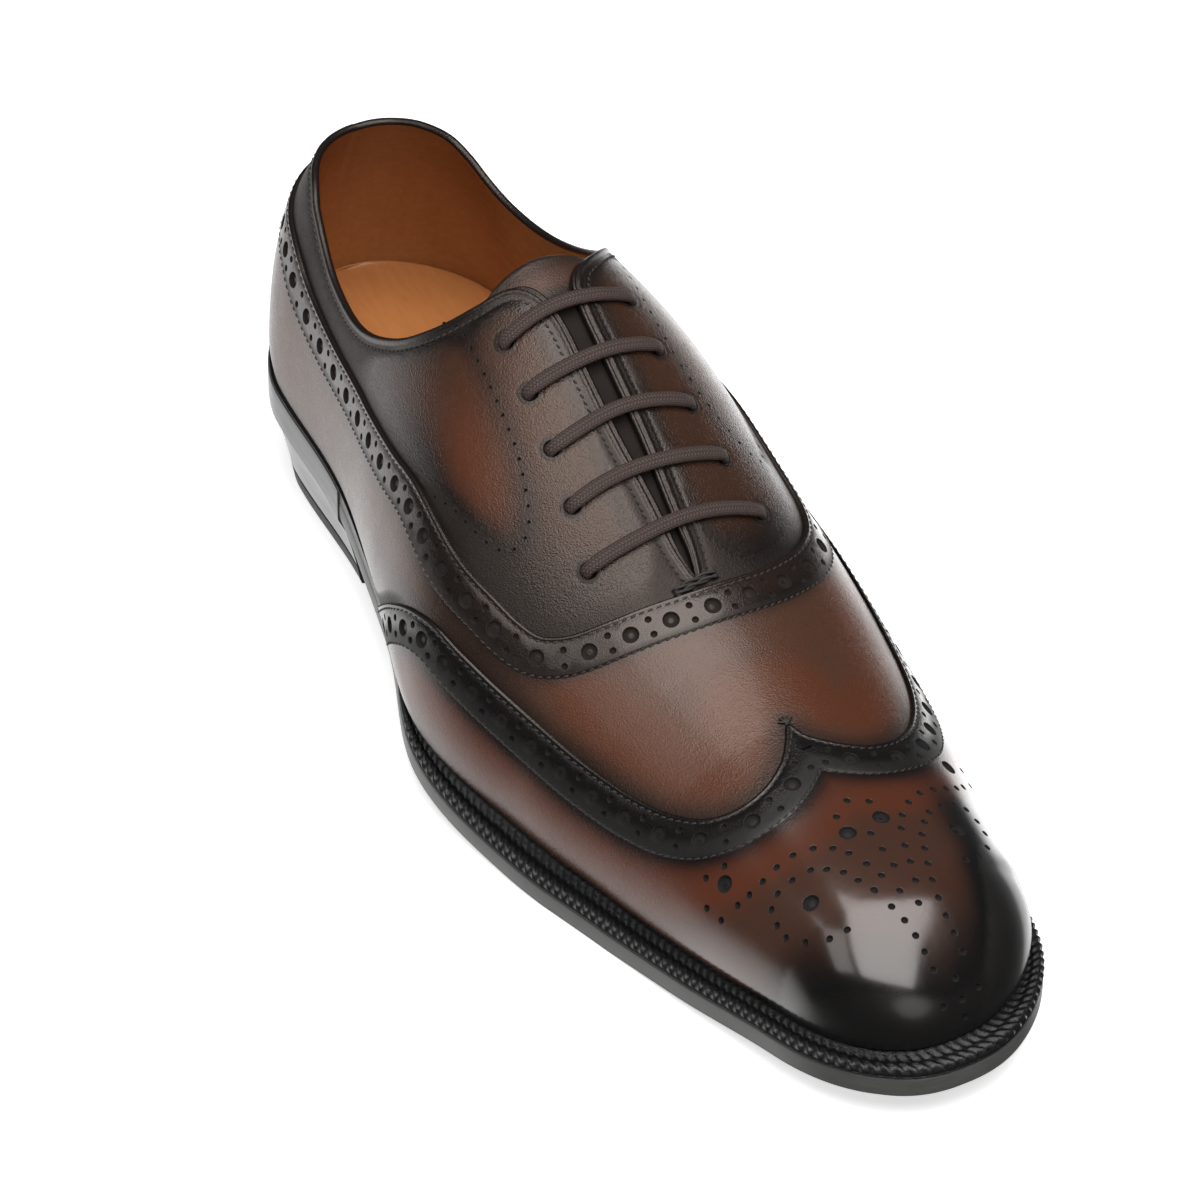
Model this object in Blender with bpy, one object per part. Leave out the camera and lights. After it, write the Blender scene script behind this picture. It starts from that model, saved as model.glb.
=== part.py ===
"""Wingtip oxford, the right shoe, as separate solids.

The frame has +X to the toe, +Z up and +Y to the inner side of the foot. Lengths are in metres.
Every upper piece comes from one function of the last. A point on the last has two plan numbers:
u runs from heel (0) to toe (LAST_LENGTH), v runs from the spine (0) to the feather edge on
either side, negative on the outer side.
"""

import math

import bpy
import numpy as np
from mathutils.geometry import delaunay_2d_cdt

# Last: main sizes
LAST_LENGTH = 0.2945
BALL_WIDTH = 0.0925
INSTEP_RISE = 0.079
HEEL_LIFT = 0.0245
TOE_SPRING = 0.0082
HEEL_FAN = 0.035
TOE_FAN = 0.027
HEEL_ROUNDNESS = 2.1
TOE_ROUNDNESS = 2.5

# Upper: leather thicknesses and the running gap between pieces
GAP = 0.0003
WALL = 0.0016
VAMP_THICKNESS = 0.0008
WING_THICKNESS = 0.0013
TONGUE_THICKNESS = 0.0014
TONGUE_CLEARANCE = 0.0006
EYELET_RADIUS = 0.0024
LACE_WIDTH = 0.0034
LACE_HEIGHT = 0.0018

# Bottom: stack under the feather edge
OUTSOLE_THICKNESS = 0.0055
OUTSOLE_EDGE_ROUND = 0.0009
WELT_THICKNESS = 0.0034
WELT_EDGE_ROUND = 0.0008
WELT_MARGIN = 0.0063
WELT_SEAT = 0.0022
INSOLE_RISE = 0.0025
INSOLE_CLEARANCE = 0.0009

# Heel
HEEL_LENGTH = 0.0735
HEEL_TAPER = 0.0055
HEEL_BREAST_CURVE = 0.005
TOP_PIECE_THICKNESS = 0.005
HEEL_LEVELS = 5

# Mesh spacings
PATTERN_SPACING = 0.0078
SEAM_SPACING = 0.0056
EYELET_SIDES = 8
SLOPE_STEP = 0.0002

# Sections of the last from heel to toe. The share is of LAST_LENGTH, half widths, ridge and bulges
# are shares of BALL_WIDTH, the rise is of INSTEP_RISE, lift of HEEL_LIFT and spring of TOE_SPRING.
# Wall and tops are the handles of the section's curve, from the feather edge up and from the ridge out.
LAST_COLUMNS = (
    "share", "outer", "inner", "rise", "ridge", "lift", "spring",
    "wall", "outer_top", "inner_top", "outer_bulge", "inner_bulge",
)
LAST_ROWS = (
    (0.00, 0.281, 0.281, 0.937, 0.000, 1.000, 0.00, 0.50, 0.85, 0.85, 0.048, 0.048),
    (0.10, 0.362, 0.335, 0.975, 0.000, 0.975, 0.00, 0.50, 0.40, 0.40, -0.013, -0.013),
    (0.25, 0.411, 0.324, 1.038, 0.000, 0.898, 0.00, 0.50, 0.42, 0.60, 0.006, 0.027),
    (0.38, 0.503, 0.368, 1.000, 0.005, 0.637, 0.00, 0.50, 0.45, 0.76, 0.043, 0.092),
    (0.50, 0.589, 0.416, 0.861, 0.011, 0.270, 0.00, 0.50, 0.49, 0.72, 0.052, 0.101),
    (0.62, 0.508, 0.492, 0.658, 0.005, 0.036, 0.00, 0.50, 0.50, 0.64, 0.041, 0.073),
    (0.71, 0.435, 0.500, 0.532, 0.016, -0.008, 0.00, 0.50, 0.55, 0.59, 0.032, 0.045),
    (0.82, 0.359, 0.438, 0.430, 0.016, 0.000, 0.24, 0.55, 0.65, 0.66, 0.022, 0.027),
    (0.91, 0.292, 0.368, 0.342, 0.005, 0.000, 0.67, 0.60, 0.70, 0.70, 0.012, 0.012),
    (1.00, 0.222, 0.243, 0.228, 0.002, 0.000, 1.00, 0.65, 0.75, 0.75, 0.006, 0.006),
)

# How far the welt and outsole stand out past the feather edge, as shares of WELT_MARGIN.
MARGIN_COLUMNS = ("share", "outer", "inner")
MARGIN_ROWS = (
    (0.00, 0.16, 0.16),
    (0.30, 0.08, 0.08),
    (0.42, 0.08, 0.08),
    (0.50, 0.55, 0.29),
    (0.60, 1.00, 0.71),
    (0.80, 0.87, 0.86),
    (0.92, 0.80, 0.76),
    (1.00, 1.00, 1.00),
)

# Seam lines on the last: share of LAST_LENGTH, and share of the half width, negative on the outer side.
# The rim starts at the heel's back, runs along the outer collar, down the throat slot and back inside.
RIM_COLUMNS = ("share", "side")
RIM_ROWS = (
    (0.0593, 0.000), (0.064, -0.200), (0.078, -0.370), (0.096, -0.485), (0.118, -0.570),
    (0.160, -0.635), (0.209, -0.650), (0.245, -0.625), (0.284, -0.555), (0.311, -0.480),
    (0.336, -0.370), (0.350, -0.260), (0.3555, -0.185), (0.364, -0.125), (0.378, -0.085),
    (0.400, -0.065), (0.440, -0.060), (0.490, -0.054), (0.540, -0.046), (0.588, -0.034),
    (0.598, 0.000),
    (0.588, 0.030), (0.540, 0.034), (0.490, 0.037), (0.440, 0.041), (0.400, 0.048),
    (0.378, 0.065), (0.364, 0.105), (0.355, 0.155), (0.343, 0.230), (0.327, 0.320),
    (0.308, 0.410), (0.284, 0.495), (0.245, 0.575), (0.209, 0.610), (0.160, 0.605),
    (0.118, 0.550), (0.096, 0.475), (0.078, 0.370), (0.064, 0.200),
)

# Top edge of the vamp overlay, a closed line from the heel's back round in front of the throat.
VAMP_ROWS = (
    (0.0450, 0.000), (0.050, -0.240), (0.064, -0.450), (0.096, -0.630), (0.140, -0.710),
    (0.203, -0.735), (0.280, -0.710), (0.356, -0.645), (0.412, -0.585), (0.449, -0.555),
    (0.487, -0.528), (0.525, -0.498), (0.553, -0.479), (0.570, -0.458), (0.579, -0.428),
    (0.587, -0.385), (0.597, -0.285), (0.604, -0.180), (0.609, -0.070), (0.610, 0.060),
    (0.606, 0.180), (0.597, 0.275), (0.583, 0.365), (0.561, 0.455), (0.531, 0.520),
    (0.487, 0.550), (0.449, 0.570), (0.412, 0.600), (0.356, 0.650), (0.280, 0.705),
    (0.203, 0.725), (0.140, 0.700), (0.096, 0.620), (0.064, 0.450), (0.050, 0.240),
)

# Back edge of the wing cap, from its foot on the outer side over the peak to its foot inside.
WING_OUTER_ROWS = (
    (0.374, -1.000), (0.399, -0.925), (0.436, -0.805), (0.468, -0.718), (0.497, -0.668),
    (0.532, -0.645), (0.578, -0.625), (0.622, -0.605), (0.667, -0.580), (0.709, -0.545),
    (0.748, -0.480), (0.769, -0.410), (0.780, -0.315), (0.779, -0.200), (0.765, -0.095),
    (0.748, -0.035), (0.735, 0.003),
)
WING_INNER_ROWS = (
    (0.735, 0.003), (0.750, 0.032), (0.765, 0.100), (0.774, 0.185), (0.772, 0.280),
    (0.758, 0.385), (0.736, 0.470), (0.704, 0.545), (0.671, 0.580), (0.630, 0.590),
    (0.583, 0.605), (0.540, 0.630), (0.500, 0.660), (0.468, 0.718), (0.436, 0.805),
    (0.402, 0.925), (0.380, 1.000),
)

# Eyelets from the top down
EYELET_COLUMNS = ("share", "outer", "inner")
EYELET_ROWS = (
    (0.3900, -0.228, 0.218),
    (0.4330, -0.217, 0.212),
    (0.4755, -0.216, 0.228),
    (0.5175, -0.228, 0.247),
    (0.5600, -0.268, 0.282),
)

# Tongue from its free top down to its seam: share of the length and of the half width
TONGUE_COLUMNS = ("share", "half")
TONGUE_ROWS = (
    (0.3420, 0.16),
    (0.3470, 0.25),
    (0.3600, 0.29),
    (0.4500, 0.31),
    (0.5600, 0.32),
    (0.6250, 0.26),
)


def table(columns, rows):
    """Named columns as arrays."""
    return {name: np.array([row[k] for row in rows]) for k, name in enumerate(columns)}


LAST = table(LAST_COLUMNS, LAST_ROWS)
MARGIN = table(MARGIN_COLUMNS, MARGIN_ROWS)
EYELETS = table(EYELET_COLUMNS, EYELET_ROWS)
TONGUE = table(TONGUE_COLUMNS, TONGUE_ROWS)


def spline(knots, values, at):
    """Smooth curve through a table: cubic pieces whose slopes are weighted from their neighbours."""
    steps = np.diff(knots)
    chords = np.diff(values) / steps
    slopes = np.empty(len(knots))
    slopes[1:-1] = (chords[:-1] * steps[1:] + chords[1:] * steps[:-1]) / (steps[:-1] + steps[1:])
    slopes[0] = 1.5 * chords[0] - 0.5 * slopes[1]
    slopes[-1] = 1.5 * chords[-1] - 0.5 * slopes[-2]
    at = np.clip(at, knots[0], knots[-1])
    k = np.clip(np.searchsorted(knots, at) - 1, 0, len(steps) - 1)
    t = (at - knots[k]) / steps[k]
    start = (2 * t**3 - 3 * t**2 + 1) * values[k] + (t**3 - 2 * t**2 + t) * steps[k] * slopes[k]
    end = (3 * t**2 - 2 * t**3) * values[k + 1] + (t**3 - t**2) * steps[k] * slopes[k + 1]
    return start + end


def column(name, u):
    """A column of the last's table at length u."""
    return spline(LAST["share"], LAST[name], u / LAST_LENGTH)


def by_side(name, u, v):
    """An outer or inner column, chosen by the sign of v."""
    outer = column("outer" + name, u)
    inner = column("inner" + name, u)
    return np.where(v < 0, outer, inner)


def half_width(u, v):
    return BALL_WIDTH * by_side("", u, v)


def outsole_bottom(x):
    """Height of the outsole's underside: heel lift, a flat tread and toe spring."""
    height = HEEL_LIFT * column("lift", x) + TOE_SPRING * column("spring", x)
    return np.maximum(height, 0.0)


def outsole_top(x):
    return outsole_bottom(x) + OUTSOLE_THICKNESS


def welt_bottom(x):
    return outsole_top(x) + GAP


def welt_top(x):
    return welt_bottom(x) + WELT_THICKNESS


def feather_height(x):
    return welt_top(x) + GAP


def reach(u, v):
    """Share of the way from the spine (0) to the feather edge (1), rounded at heel and toe."""
    side = np.abs(v) / half_width(u, v)
    back = np.clip((HEEL_FAN - u) / HEEL_FAN, 0, None)
    front = np.clip((u - LAST_LENGTH + TOE_FAN) / TOE_FAN, 0, None)
    heel = (back**HEEL_ROUNDNESS + side**HEEL_ROUNDNESS) ** (1 / HEEL_ROUNDNESS)
    toe = (front**TOE_ROUNDNESS + side**TOE_ROUNDNESS) ** (1 / TOE_ROUNDNESS)
    share = np.where(back > 0, heel, np.where(front > 0, toe, side))
    return np.maximum(share, 1e-7)


def fan_centre(u):
    return np.clip(u, HEEL_FAN, LAST_LENGTH - TOE_FAN)


def last_point(u, v):
    """Point on the last: each section is a cubic curve from the feather edge up to the ridge,
    pushed out by a bulge, and turned about the fan centres at heel and toe."""
    share = reach(u, v)
    t = 1 - share
    centre = fan_centre(u)
    out_x = (u - centre) / share
    out_y = v / share
    out = np.hypot(out_x, out_y) + 1e-9
    top = by_side("_top", u, v)
    width = (1 - t) ** 3 + 3 * (1 - t) ** 2 * t + 3 * (1 - t) * t**2 * top
    height = 3 * (1 - t) ** 2 * t * column("wall", u) + 3 * (1 - t) * t**2 + t**3
    bulge = BALL_WIDTH * by_side("_bulge", u, v) * 6.75 * t * (1 - t) ** 2
    x = centre + out_x * (width + bulge / out)
    ridge = BALL_WIDTH * column("ridge", x)
    y = ridge * (1 - width) + out_y * (width + bulge / out)
    z = feather_height(x) + INSTEP_RISE * column("rise", x) * height
    return np.stack([x, y, z], axis=-1)


def slopes(u, v):
    """How the point on the last moves with u and with v."""
    step = SLOPE_STEP
    along = (last_point(u + step, v) - last_point(u - step, v)) / (2 * step)
    across = (last_point(u, v + step) - last_point(u, v - step)) / (2 * step)
    return along, across


def normal(u, v):
    along, across = slopes(u, v)
    n = np.cross(along, across)
    return n / np.linalg.norm(n, axis=-1, keepdims=True)


def layer_point(u, v, depth):
    """Point at a depth outside the last, negative for inside."""
    return last_point(u, v) + depth * normal(u, v)


def flat(u, v):
    """The last unrolled: the same plan direction, with the distance from the spine as on the section."""
    share = reach(u, v)
    centre = fan_centre(u)
    out_x = (u - centre) / share
    out_y = v / share
    out = np.hypot(out_x, out_y) + 1e-9
    length = np.hypot(out, INSTEP_RISE * column("rise", u)) * share
    return np.stack([centre + out_x / out * length, out_y / out * length], axis=-1)


def feather_v(u, side):
    """v of the feather edge at length u."""
    back = np.clip((HEEL_FAN - u) / HEEL_FAN, 0, 1)
    front = np.clip((u - LAST_LENGTH + TOE_FAN) / TOE_FAN, 0, 1)
    heel = (1 - back**HEEL_ROUNDNESS) ** (1 / HEEL_ROUNDNESS)
    toe = (1 - front**TOE_ROUNDNESS) ** (1 / TOE_ROUNDNESS)
    return side * half_width(u, np.full_like(u, side)) * heel * toe


def even_steps(points, spacing, least=2):
    """Places along a line, as fine indices, with near equal steps."""
    length = np.concatenate([[0], np.cumsum(np.linalg.norm(np.diff(points, axis=0), axis=1))])
    count = max(least, int(round(length[-1] / spacing)))
    return np.interp(np.linspace(0, length[-1], count + 1), length, np.arange(len(length)))


def feather_arc(side, start, end, spacing=SEAM_SPACING):
    """Plan points of the feather edge on one side between two lengths, both ends included."""
    turn = np.linspace(math.acos(1 - 2 * start / LAST_LENGTH), math.acos(1 - 2 * end / LAST_LENGTH), 600)
    u = LAST_LENGTH * (1 - np.cos(turn)) / 2
    arc = np.stack([u, feather_v(u, side)], axis=-1)
    places = even_steps(arc, spacing)
    fine = np.arange(len(arc))
    return np.stack([np.interp(places, fine, arc[:, 0]), np.interp(places, fine, arc[:, 1])], axis=-1)


def feather_loop(spacing=SEAM_SPACING):
    """The whole feather edge, from the heel's back along the outer side and home along the inner."""
    outer = feather_arc(-1, 0.0, LAST_LENGTH, spacing)
    inner = feather_arc(1, 0.0, LAST_LENGTH, spacing)
    half = min(len(outer), len(inner)) - 1
    outer = resample(outer, half)
    inner = resample(inner, half)
    return np.concatenate([outer, inner[::-1][1:-1]])


def resample(points, steps):
    places = np.linspace(0, len(points) - 1, steps + 1)
    index = np.arange(len(points))
    return np.stack([np.interp(places, index, points[:, k]) for k in (0, 1)], axis=-1)


def offset_loop(loop, distance, closed=True):
    """Plan loop moved outwards by a distance, one for all or one for each point."""
    if closed:
        run = np.roll(loop, -1, axis=0) - np.roll(loop, 1, axis=0)
    else:
        run = np.gradient(loop, axis=0)
    out = np.stack([run[:, 1], -run[:, 0]], axis=-1)
    out /= np.linalg.norm(out, axis=1, keepdims=True)
    return loop + out * np.reshape(distance, (-1, 1))


def seam_line(rows, closed, spacing=SEAM_SPACING):
    """Smooth line through rows of shares, as plan points with near equal steps on the surface."""
    u = np.array([row[0] for row in rows]) * LAST_LENGTH
    side = np.array([row[1] for row in rows])
    if closed:
        u = np.concatenate([u[-3:], u, u[:4]])
        side = np.concatenate([side[-3:], side, side[:4]])
    rough = flat(u, side * half_width(u, side))
    knots = np.concatenate([[0], np.cumsum(np.linalg.norm(np.diff(rough, axis=0), axis=1) ** 0.6)])
    start, end = (knots[3], knots[-4]) if closed else (knots[0], knots[-1])
    at = np.linspace(start, end, 800)
    fine_u = spline(knots, u, at)
    fine_side = np.clip(spline(knots, side, at), -1, 1)
    fine_v = fine_side * half_width(fine_u, fine_side)
    places = even_steps(last_point(fine_u, fine_v), spacing)
    index = np.arange(len(at))
    line = np.stack([np.interp(places, index, fine_u), np.interp(places, index, fine_v)], axis=-1)
    return line[:-1] if closed else line


def ring_on_last(u, v, radius, sides):
    """Plan points of a small circle drawn on the last's surface."""
    along, across = slopes(np.array([u]), np.array([v]))
    basis = np.stack([along[0], across[0]], axis=1)
    first = along[0] / np.linalg.norm(along[0])
    second = np.cross(normal(np.array([u]), np.array([v]))[0], first)
    turn = np.arange(sides) * 2 * math.pi / sides
    wanted = radius * (np.outer(np.cos(turn), first) + np.outer(np.sin(turn), second))
    moves = np.linalg.lstsq(basis, wanted.T, rcond=None)[0].T
    return np.array([u, v]) + moves


def inside(points, loop):
    """Which points lie inside a closed loop."""
    x, y = points[:, 0:1], points[:, 1:2]
    ax, ay = loop[:, 0], loop[:, 1]
    bx, by = np.roll(ax, -1), np.roll(ay, -1)
    spans = (ay > y) != (by > y)
    with np.errstate(divide="ignore", invalid="ignore"):
        crossing = (bx - ax) * (y - ay) / (by - ay) + ax
    return (np.sum(spans & (x < crossing), axis=1) % 2) == 1


def inner_grid(spacing):
    """Plan points spread over the last, rows along the length and rings in the two fans."""
    points = []
    for u in np.arange(HEEL_FAN, LAST_LENGTH - TOE_FAN + spacing / 2, spacing):
        for side in (-1, 1):
            width = half_width(np.array([u]), side)[0]
            length = flat(np.array([u]), np.array([side * width * 0.999]))[0, 1]
            rows = max(2, int(abs(length) / spacing))
            first = 0 if side < 0 else 1
            points += [(u, side * width * k / rows) for k in range(first, rows)]
    for centre, depth, roundness, way in (
        (HEEL_FAN, HEEL_FAN, HEEL_ROUNDNESS, -1),
        (LAST_LENGTH - TOE_FAN, TOE_FAN, TOE_ROUNDNESS, 1),
    ):
        tip = flat(np.array([centre + way * depth * 0.999]), np.array([1e-9]))[0, 0]
        rows = int(abs(tip - centre) / spacing)
        for k in range(1, rows):
            count = max(2, int(math.pi * k * 0.8))
            for turn in (np.arange(count) + 0.5) * math.pi / count:
                reach_x = abs(math.sin(turn)) ** (2 / roundness)
                reach_y = abs(math.cos(turn)) ** (2 / roundness) * math.copysign(1, math.cos(turn))
                u = centre + way * depth * reach_x * k / rows
                width = half_width(np.array([u]), reach_y)[0]
                points.append((u, width * reach_y * k / rows))
    return np.array(points)


def build_pattern():
    """One triangle mesh of the whole last with every seam line in it, so that layered pieces fit."""
    outer_foot = WING_OUTER_ROWS[0][0] * LAST_LENGTH
    inner_foot = WING_INNER_ROWS[-1][0] * LAST_LENGTH
    arcs = [
        feather_arc(-1, 0.0, outer_foot),
        feather_arc(-1, outer_foot, LAST_LENGTH),
        feather_arc(1, inner_foot, LAST_LENGTH)[::-1],
        feather_arc(1, 0.0, inner_foot)[::-1],
    ]
    outline = np.concatenate([arc[:-1] for arc in arcs])
    outer_foot_at = len(arcs[0]) - 1
    inner_foot_at = len(arcs[0]) + len(arcs[1]) + len(arcs[2]) - 3

    outer_wing = seam_line(WING_OUTER_ROWS, closed=False)
    inner_wing = seam_line(WING_INNER_ROWS, closed=False)
    wing = np.concatenate([outer_wing[1:], inner_wing[1:-1]])
    rim = seam_line(RIM_ROWS, closed=True)
    vamp = seam_line(VAMP_ROWS, closed=True)
    holes = []
    for name in ("outer", "inner"):
        for share, side in zip(EYELETS["share"], EYELETS[name]):
            u = share * LAST_LENGTH
            v = side * half_width(np.array([u]), side)[0]
            holes.append(ring_on_last(u, v, EYELET_RADIUS, EYELET_SIDES))

    points = [outline]
    edges = loop_edges(0, len(outline))
    for loop in [rim, vamp] + holes:
        edges += loop_edges(sum(map(len, points)), len(loop))
        points.append(loop)
    wing_at = sum(map(len, points))
    points.append(wing)
    chain = [outer_foot_at] + list(range(wing_at, wing_at + len(wing))) + [inner_foot_at]
    edges += list(zip(chain[:-1], chain[1:]))

    seams = np.concatenate(points)
    grid = inner_grid(PATTERN_SPACING)
    seams_flat, grid_flat = flat(*seams.T), flat(*grid.T)
    nearest = np.min(np.linalg.norm(grid_flat[:, None] - seams_flat[None], axis=2), axis=1)
    outline_flat = flat(*outline.T)
    grid = grid[(nearest > 0.6 * PATTERN_SPACING) & inside(grid_flat, outline_flat)]
    plan = np.concatenate([seams, grid])
    plan_flat = flat(*plan.T)

    result = delaunay_2d_cdt([tuple(p) for p in plan_flat], edges, [], 0, 1e-7)
    origin = [source[0] for source in result[3]]
    triangles = np.array([[origin[k] for k in face] for face in result[2]])
    middle = plan_flat[triangles].mean(axis=1)
    whole = inside(middle, outline_flat)
    open_area = inside(middle, flat(*rim.T))
    for loop in holes:
        open_area |= inside(middle, flat(*loop.T))
    toe_loop = np.concatenate([plan_flat[chain], plan_flat[inner_foot_at - 1:outer_foot_at:-1]])
    is_wing = inside(middle, toe_loop)
    is_quarter = inside(middle, flat(*vamp.T))
    upper = triangles[whole & ~open_area]
    pieces = {
        "upper": upper,
        "wing_cap": triangles[whole & is_wing],
        "vamp": triangles[whole & ~is_wing & ~is_quarter],
    }
    on_feather = np.arange(len(plan)) < len(outline)
    return plan, on_feather, chain, pieces


def loop_edges(start, count):
    return [(start + k, start + (k + 1) % count) for k in range(count)]


def nudge_line(plan, chain, distance):
    """Plan points with one seam line moved sideways on the surface, to open a gap beside it."""
    moved = plan.copy()
    u, v = plan[chain].T
    here = flat(u, v)
    run = np.gradient(here, axis=0)
    side = np.stack([run[:, 1], -run[:, 0]], axis=-1)
    side /= np.linalg.norm(side, axis=1, keepdims=True)
    step = SLOPE_STEP
    by_u = (flat(u + step, v) - flat(u - step, v)) / (2 * step)
    by_v = (flat(u, v + step) - flat(u, v - step)) / (2 * step)
    jacobian = np.stack([by_u, by_v], axis=-1)
    moved[chain] += np.linalg.solve(jacobian, (side * distance)[..., None])[..., 0]
    return moved


def shell(name, plan, on_feather, triangles, outside, inner, finish):
    """Closed wall between two depths over the chosen triangles, flat where it stands on the welt."""
    used, corner = np.unique(triangles, return_inverse=True)
    corner = corner.reshape(triangles.shape)
    u, v = plan[used].T
    faces = []
    layers = []
    for depth in (outside, inner):
        points = layer_point(u, v, depth)
        stands = on_feather[used]
        points[stands, 2] = feather_height(points[stands, 0])
        layers.append(points)
    count = len(used)
    directed = set()
    for a, b, c in corner.tolist():
        faces += [(a, b, c), (c + count, b + count, a + count)]
        directed |= {(a, b), (b, c), (c, a)}
    faces += [(b, a, a + count, b + count) for a, b in sorted(directed) if (b, a) not in directed]
    return make_object(name, np.concatenate(layers), faces, finish)


def make_object(name, points, faces, finish):
    mesh = bpy.data.meshes.new(name)
    mesh.from_pydata([tuple(map(float, p)) for p in points], [], [tuple(map(int, f)) for f in faces])
    mesh.materials.append(finish)
    mesh.validate()
    thing = bpy.data.objects.new(name, mesh)
    bpy.context.scene.collection.objects.link(thing)
    return thing


def make_finish(name, colour, roughness, metallic=0.0):
    finish = bpy.data.materials.new(name)
    finish.use_nodes = True
    shader = finish.node_tree.nodes["Principled BSDF"]
    shader.inputs["Base Color"].default_value = (*colour, 1.0)
    shader.inputs["Roughness"].default_value = roughness
    shader.inputs["Metallic"].default_value = metallic
    finish.diffuse_color = (*colour, 1.0)
    return finish


def at_height(loop, height):
    """Plan loop lifted to a height that is a function of x."""
    return np.column_stack([loop, height(loop[:, 0])])


def walls(levels, count):
    """Quads between loops of equal count, stacked from the bottom up."""
    faces = []
    for level in range(levels - 1):
        low, high = level * count, (level + 1) * count
        for k in range(count):
            after = (k + 1) % count
            faces.append((low + k, low + after, high + after, high + k))
    return faces


def strip_cap(start, count, upward):
    """Faces across a long loop, each joining a point of one side to its partner on the other."""
    faces = [(start, start + 1, start + count - 1)]
    half = count // 2
    for k in range(1, half - 1):
        faces.append((start + k, start + k + 1, start + count - k - 1, start + count - k))
    faces.append((start + half - 1, start + half, start + half + 1))
    return faces if upward else [face[::-1] for face in faces]


def slab(name, loops, finish):
    """Solid of stacked loops, closed across its bottom and top."""
    count = len(loops[0])
    faces = walls(len(loops), count)
    faces += strip_cap(0, count, upward=False)
    faces += strip_cap((len(loops) - 1) * count, count, upward=True)
    return make_object(name, np.concatenate(loops), faces, finish)


def margin(loop):
    """Welt margin for each point of the feather loop."""
    share = loop[:, 0] / LAST_LENGTH
    outer = np.interp(share, MARGIN["share"], MARGIN["outer"])
    inner = np.interp(share, MARGIN["share"], MARGIN["inner"])
    weight = np.clip(0.5 + loop[:, 1] / (0.2 * BALL_WIDTH), 0, 1)
    return WELT_MARGIN * (outer * (1 - weight) + inner * weight)


def build_outsole(finish):
    feather = feather_loop()
    edge = offset_loop(feather, margin(feather))
    tread = offset_loop(edge, -OUTSOLE_EDGE_ROUND)
    shoulder = at_height(edge, outsole_bottom)
    shoulder[:, 2] += OUTSOLE_EDGE_ROUND
    return slab("outsole", [at_height(tread, outsole_bottom), shoulder, at_height(edge, outsole_top)], finish)


def build_welt(finish):
    """Ring under the upper's edge, its outer top edge rounded off."""
    feather = feather_loop()
    reach_out = margin(feather)
    edge = offset_loop(feather, reach_out)
    seat = offset_loop(feather, -WELT_SEAT)
    brow = offset_loop(feather, reach_out - np.minimum(WELT_EDGE_ROUND, 0.5 * reach_out))
    shoulder = at_height(edge, welt_top)
    shoulder[:, 2] -= WELT_EDGE_ROUND
    loops = [
        at_height(seat, welt_bottom),
        at_height(edge, welt_bottom),
        shoulder,
        at_height(brow, welt_top),
        at_height(seat, welt_top),
    ]
    count = len(feather)
    faces = walls(len(loops), count)
    last = (len(loops) - 1) * count
    faces += [(last + k, last + (k + 1) % count, (k + 1) % count, k) for k in range(count)]
    return make_object("welt", np.concatenate(loops), faces, finish)


def build_insole(finish):
    loop = offset_loop(feather_loop(), -(WELT_SEAT + INSOLE_CLEARANCE))
    bottom = at_height(loop, outsole_top)
    bottom[:, 2] += GAP
    top = at_height(loop, feather_height)
    top[:, 2] += INSOLE_RISE
    return slab("insole", [bottom, top], finish)


def heel_loop(drop):
    """Plan loop of the heel at a share of the way down: tapered, with a hollow breast."""
    inset = HEEL_TAPER * drop ** 0.75
    outer = feather_arc(-1, 0.0, HEEL_LENGTH)[::-1]
    inner = feather_arc(1, 0.0, HEEL_LENGTH)
    arc = np.concatenate([outer, inner[1:]])[::-1]
    arc = offset_loop(arc, margin(arc) - inset, closed=False)
    start, end = arc[-1], arc[0]
    share = np.linspace(0, 1, 9)[1:-1]
    breast = start + (end - start) * share[:, None]
    breast[:, 0] -= HEEL_BREAST_CURVE * 4 * share * (1 - share)
    return np.concatenate([arc, breast])


def stacked(name, loops, finish):
    """Solid of stacked loops whose two ends are closed by triangles."""
    count = len(loops[0])
    faces = walls(len(loops), count)
    for start, loop, upward in ((0, loops[0], False), ((len(loops) - 1) * count, loops[-1], True)):
        result = delaunay_2d_cdt([tuple(p[:2]) for p in loop], loop_edges(0, count), [], 1, 1e-7)
        for face in result[2]:
            corner = [start + result[3][k][0] for k in face]
            faces.append(corner if upward else corner[::-1])
    return make_object(name, np.concatenate(loops), faces, finish)


def build_heel(block_finish, piece_finish):
    top_height = HEEL_LIFT
    split = 1 - TOP_PIECE_THICKNESS / top_height
    drops = np.linspace(split, 0, HEEL_LEVELS)
    loops = []
    for drop in drops:
        plan = heel_loop(drop)
        roof = outsole_bottom(plan[:, 0]) - GAP
        foot = TOP_PIECE_THICKNESS + GAP
        share = 1 - drop / split
        loops.append(np.column_stack([plan, foot + (roof - foot) * share]))
    block = stacked("heel_block", loops, block_finish)
    low, high = heel_loop(1.0), heel_loop(split)
    piece_loops = [
        np.column_stack([low, np.zeros(len(low))]),
        np.column_stack([high, np.full(len(high), TOP_PIECE_THICKNESS)]),
    ]
    piece = stacked("heel_top_piece", piece_loops, piece_finish)
    return [block, piece]


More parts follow.
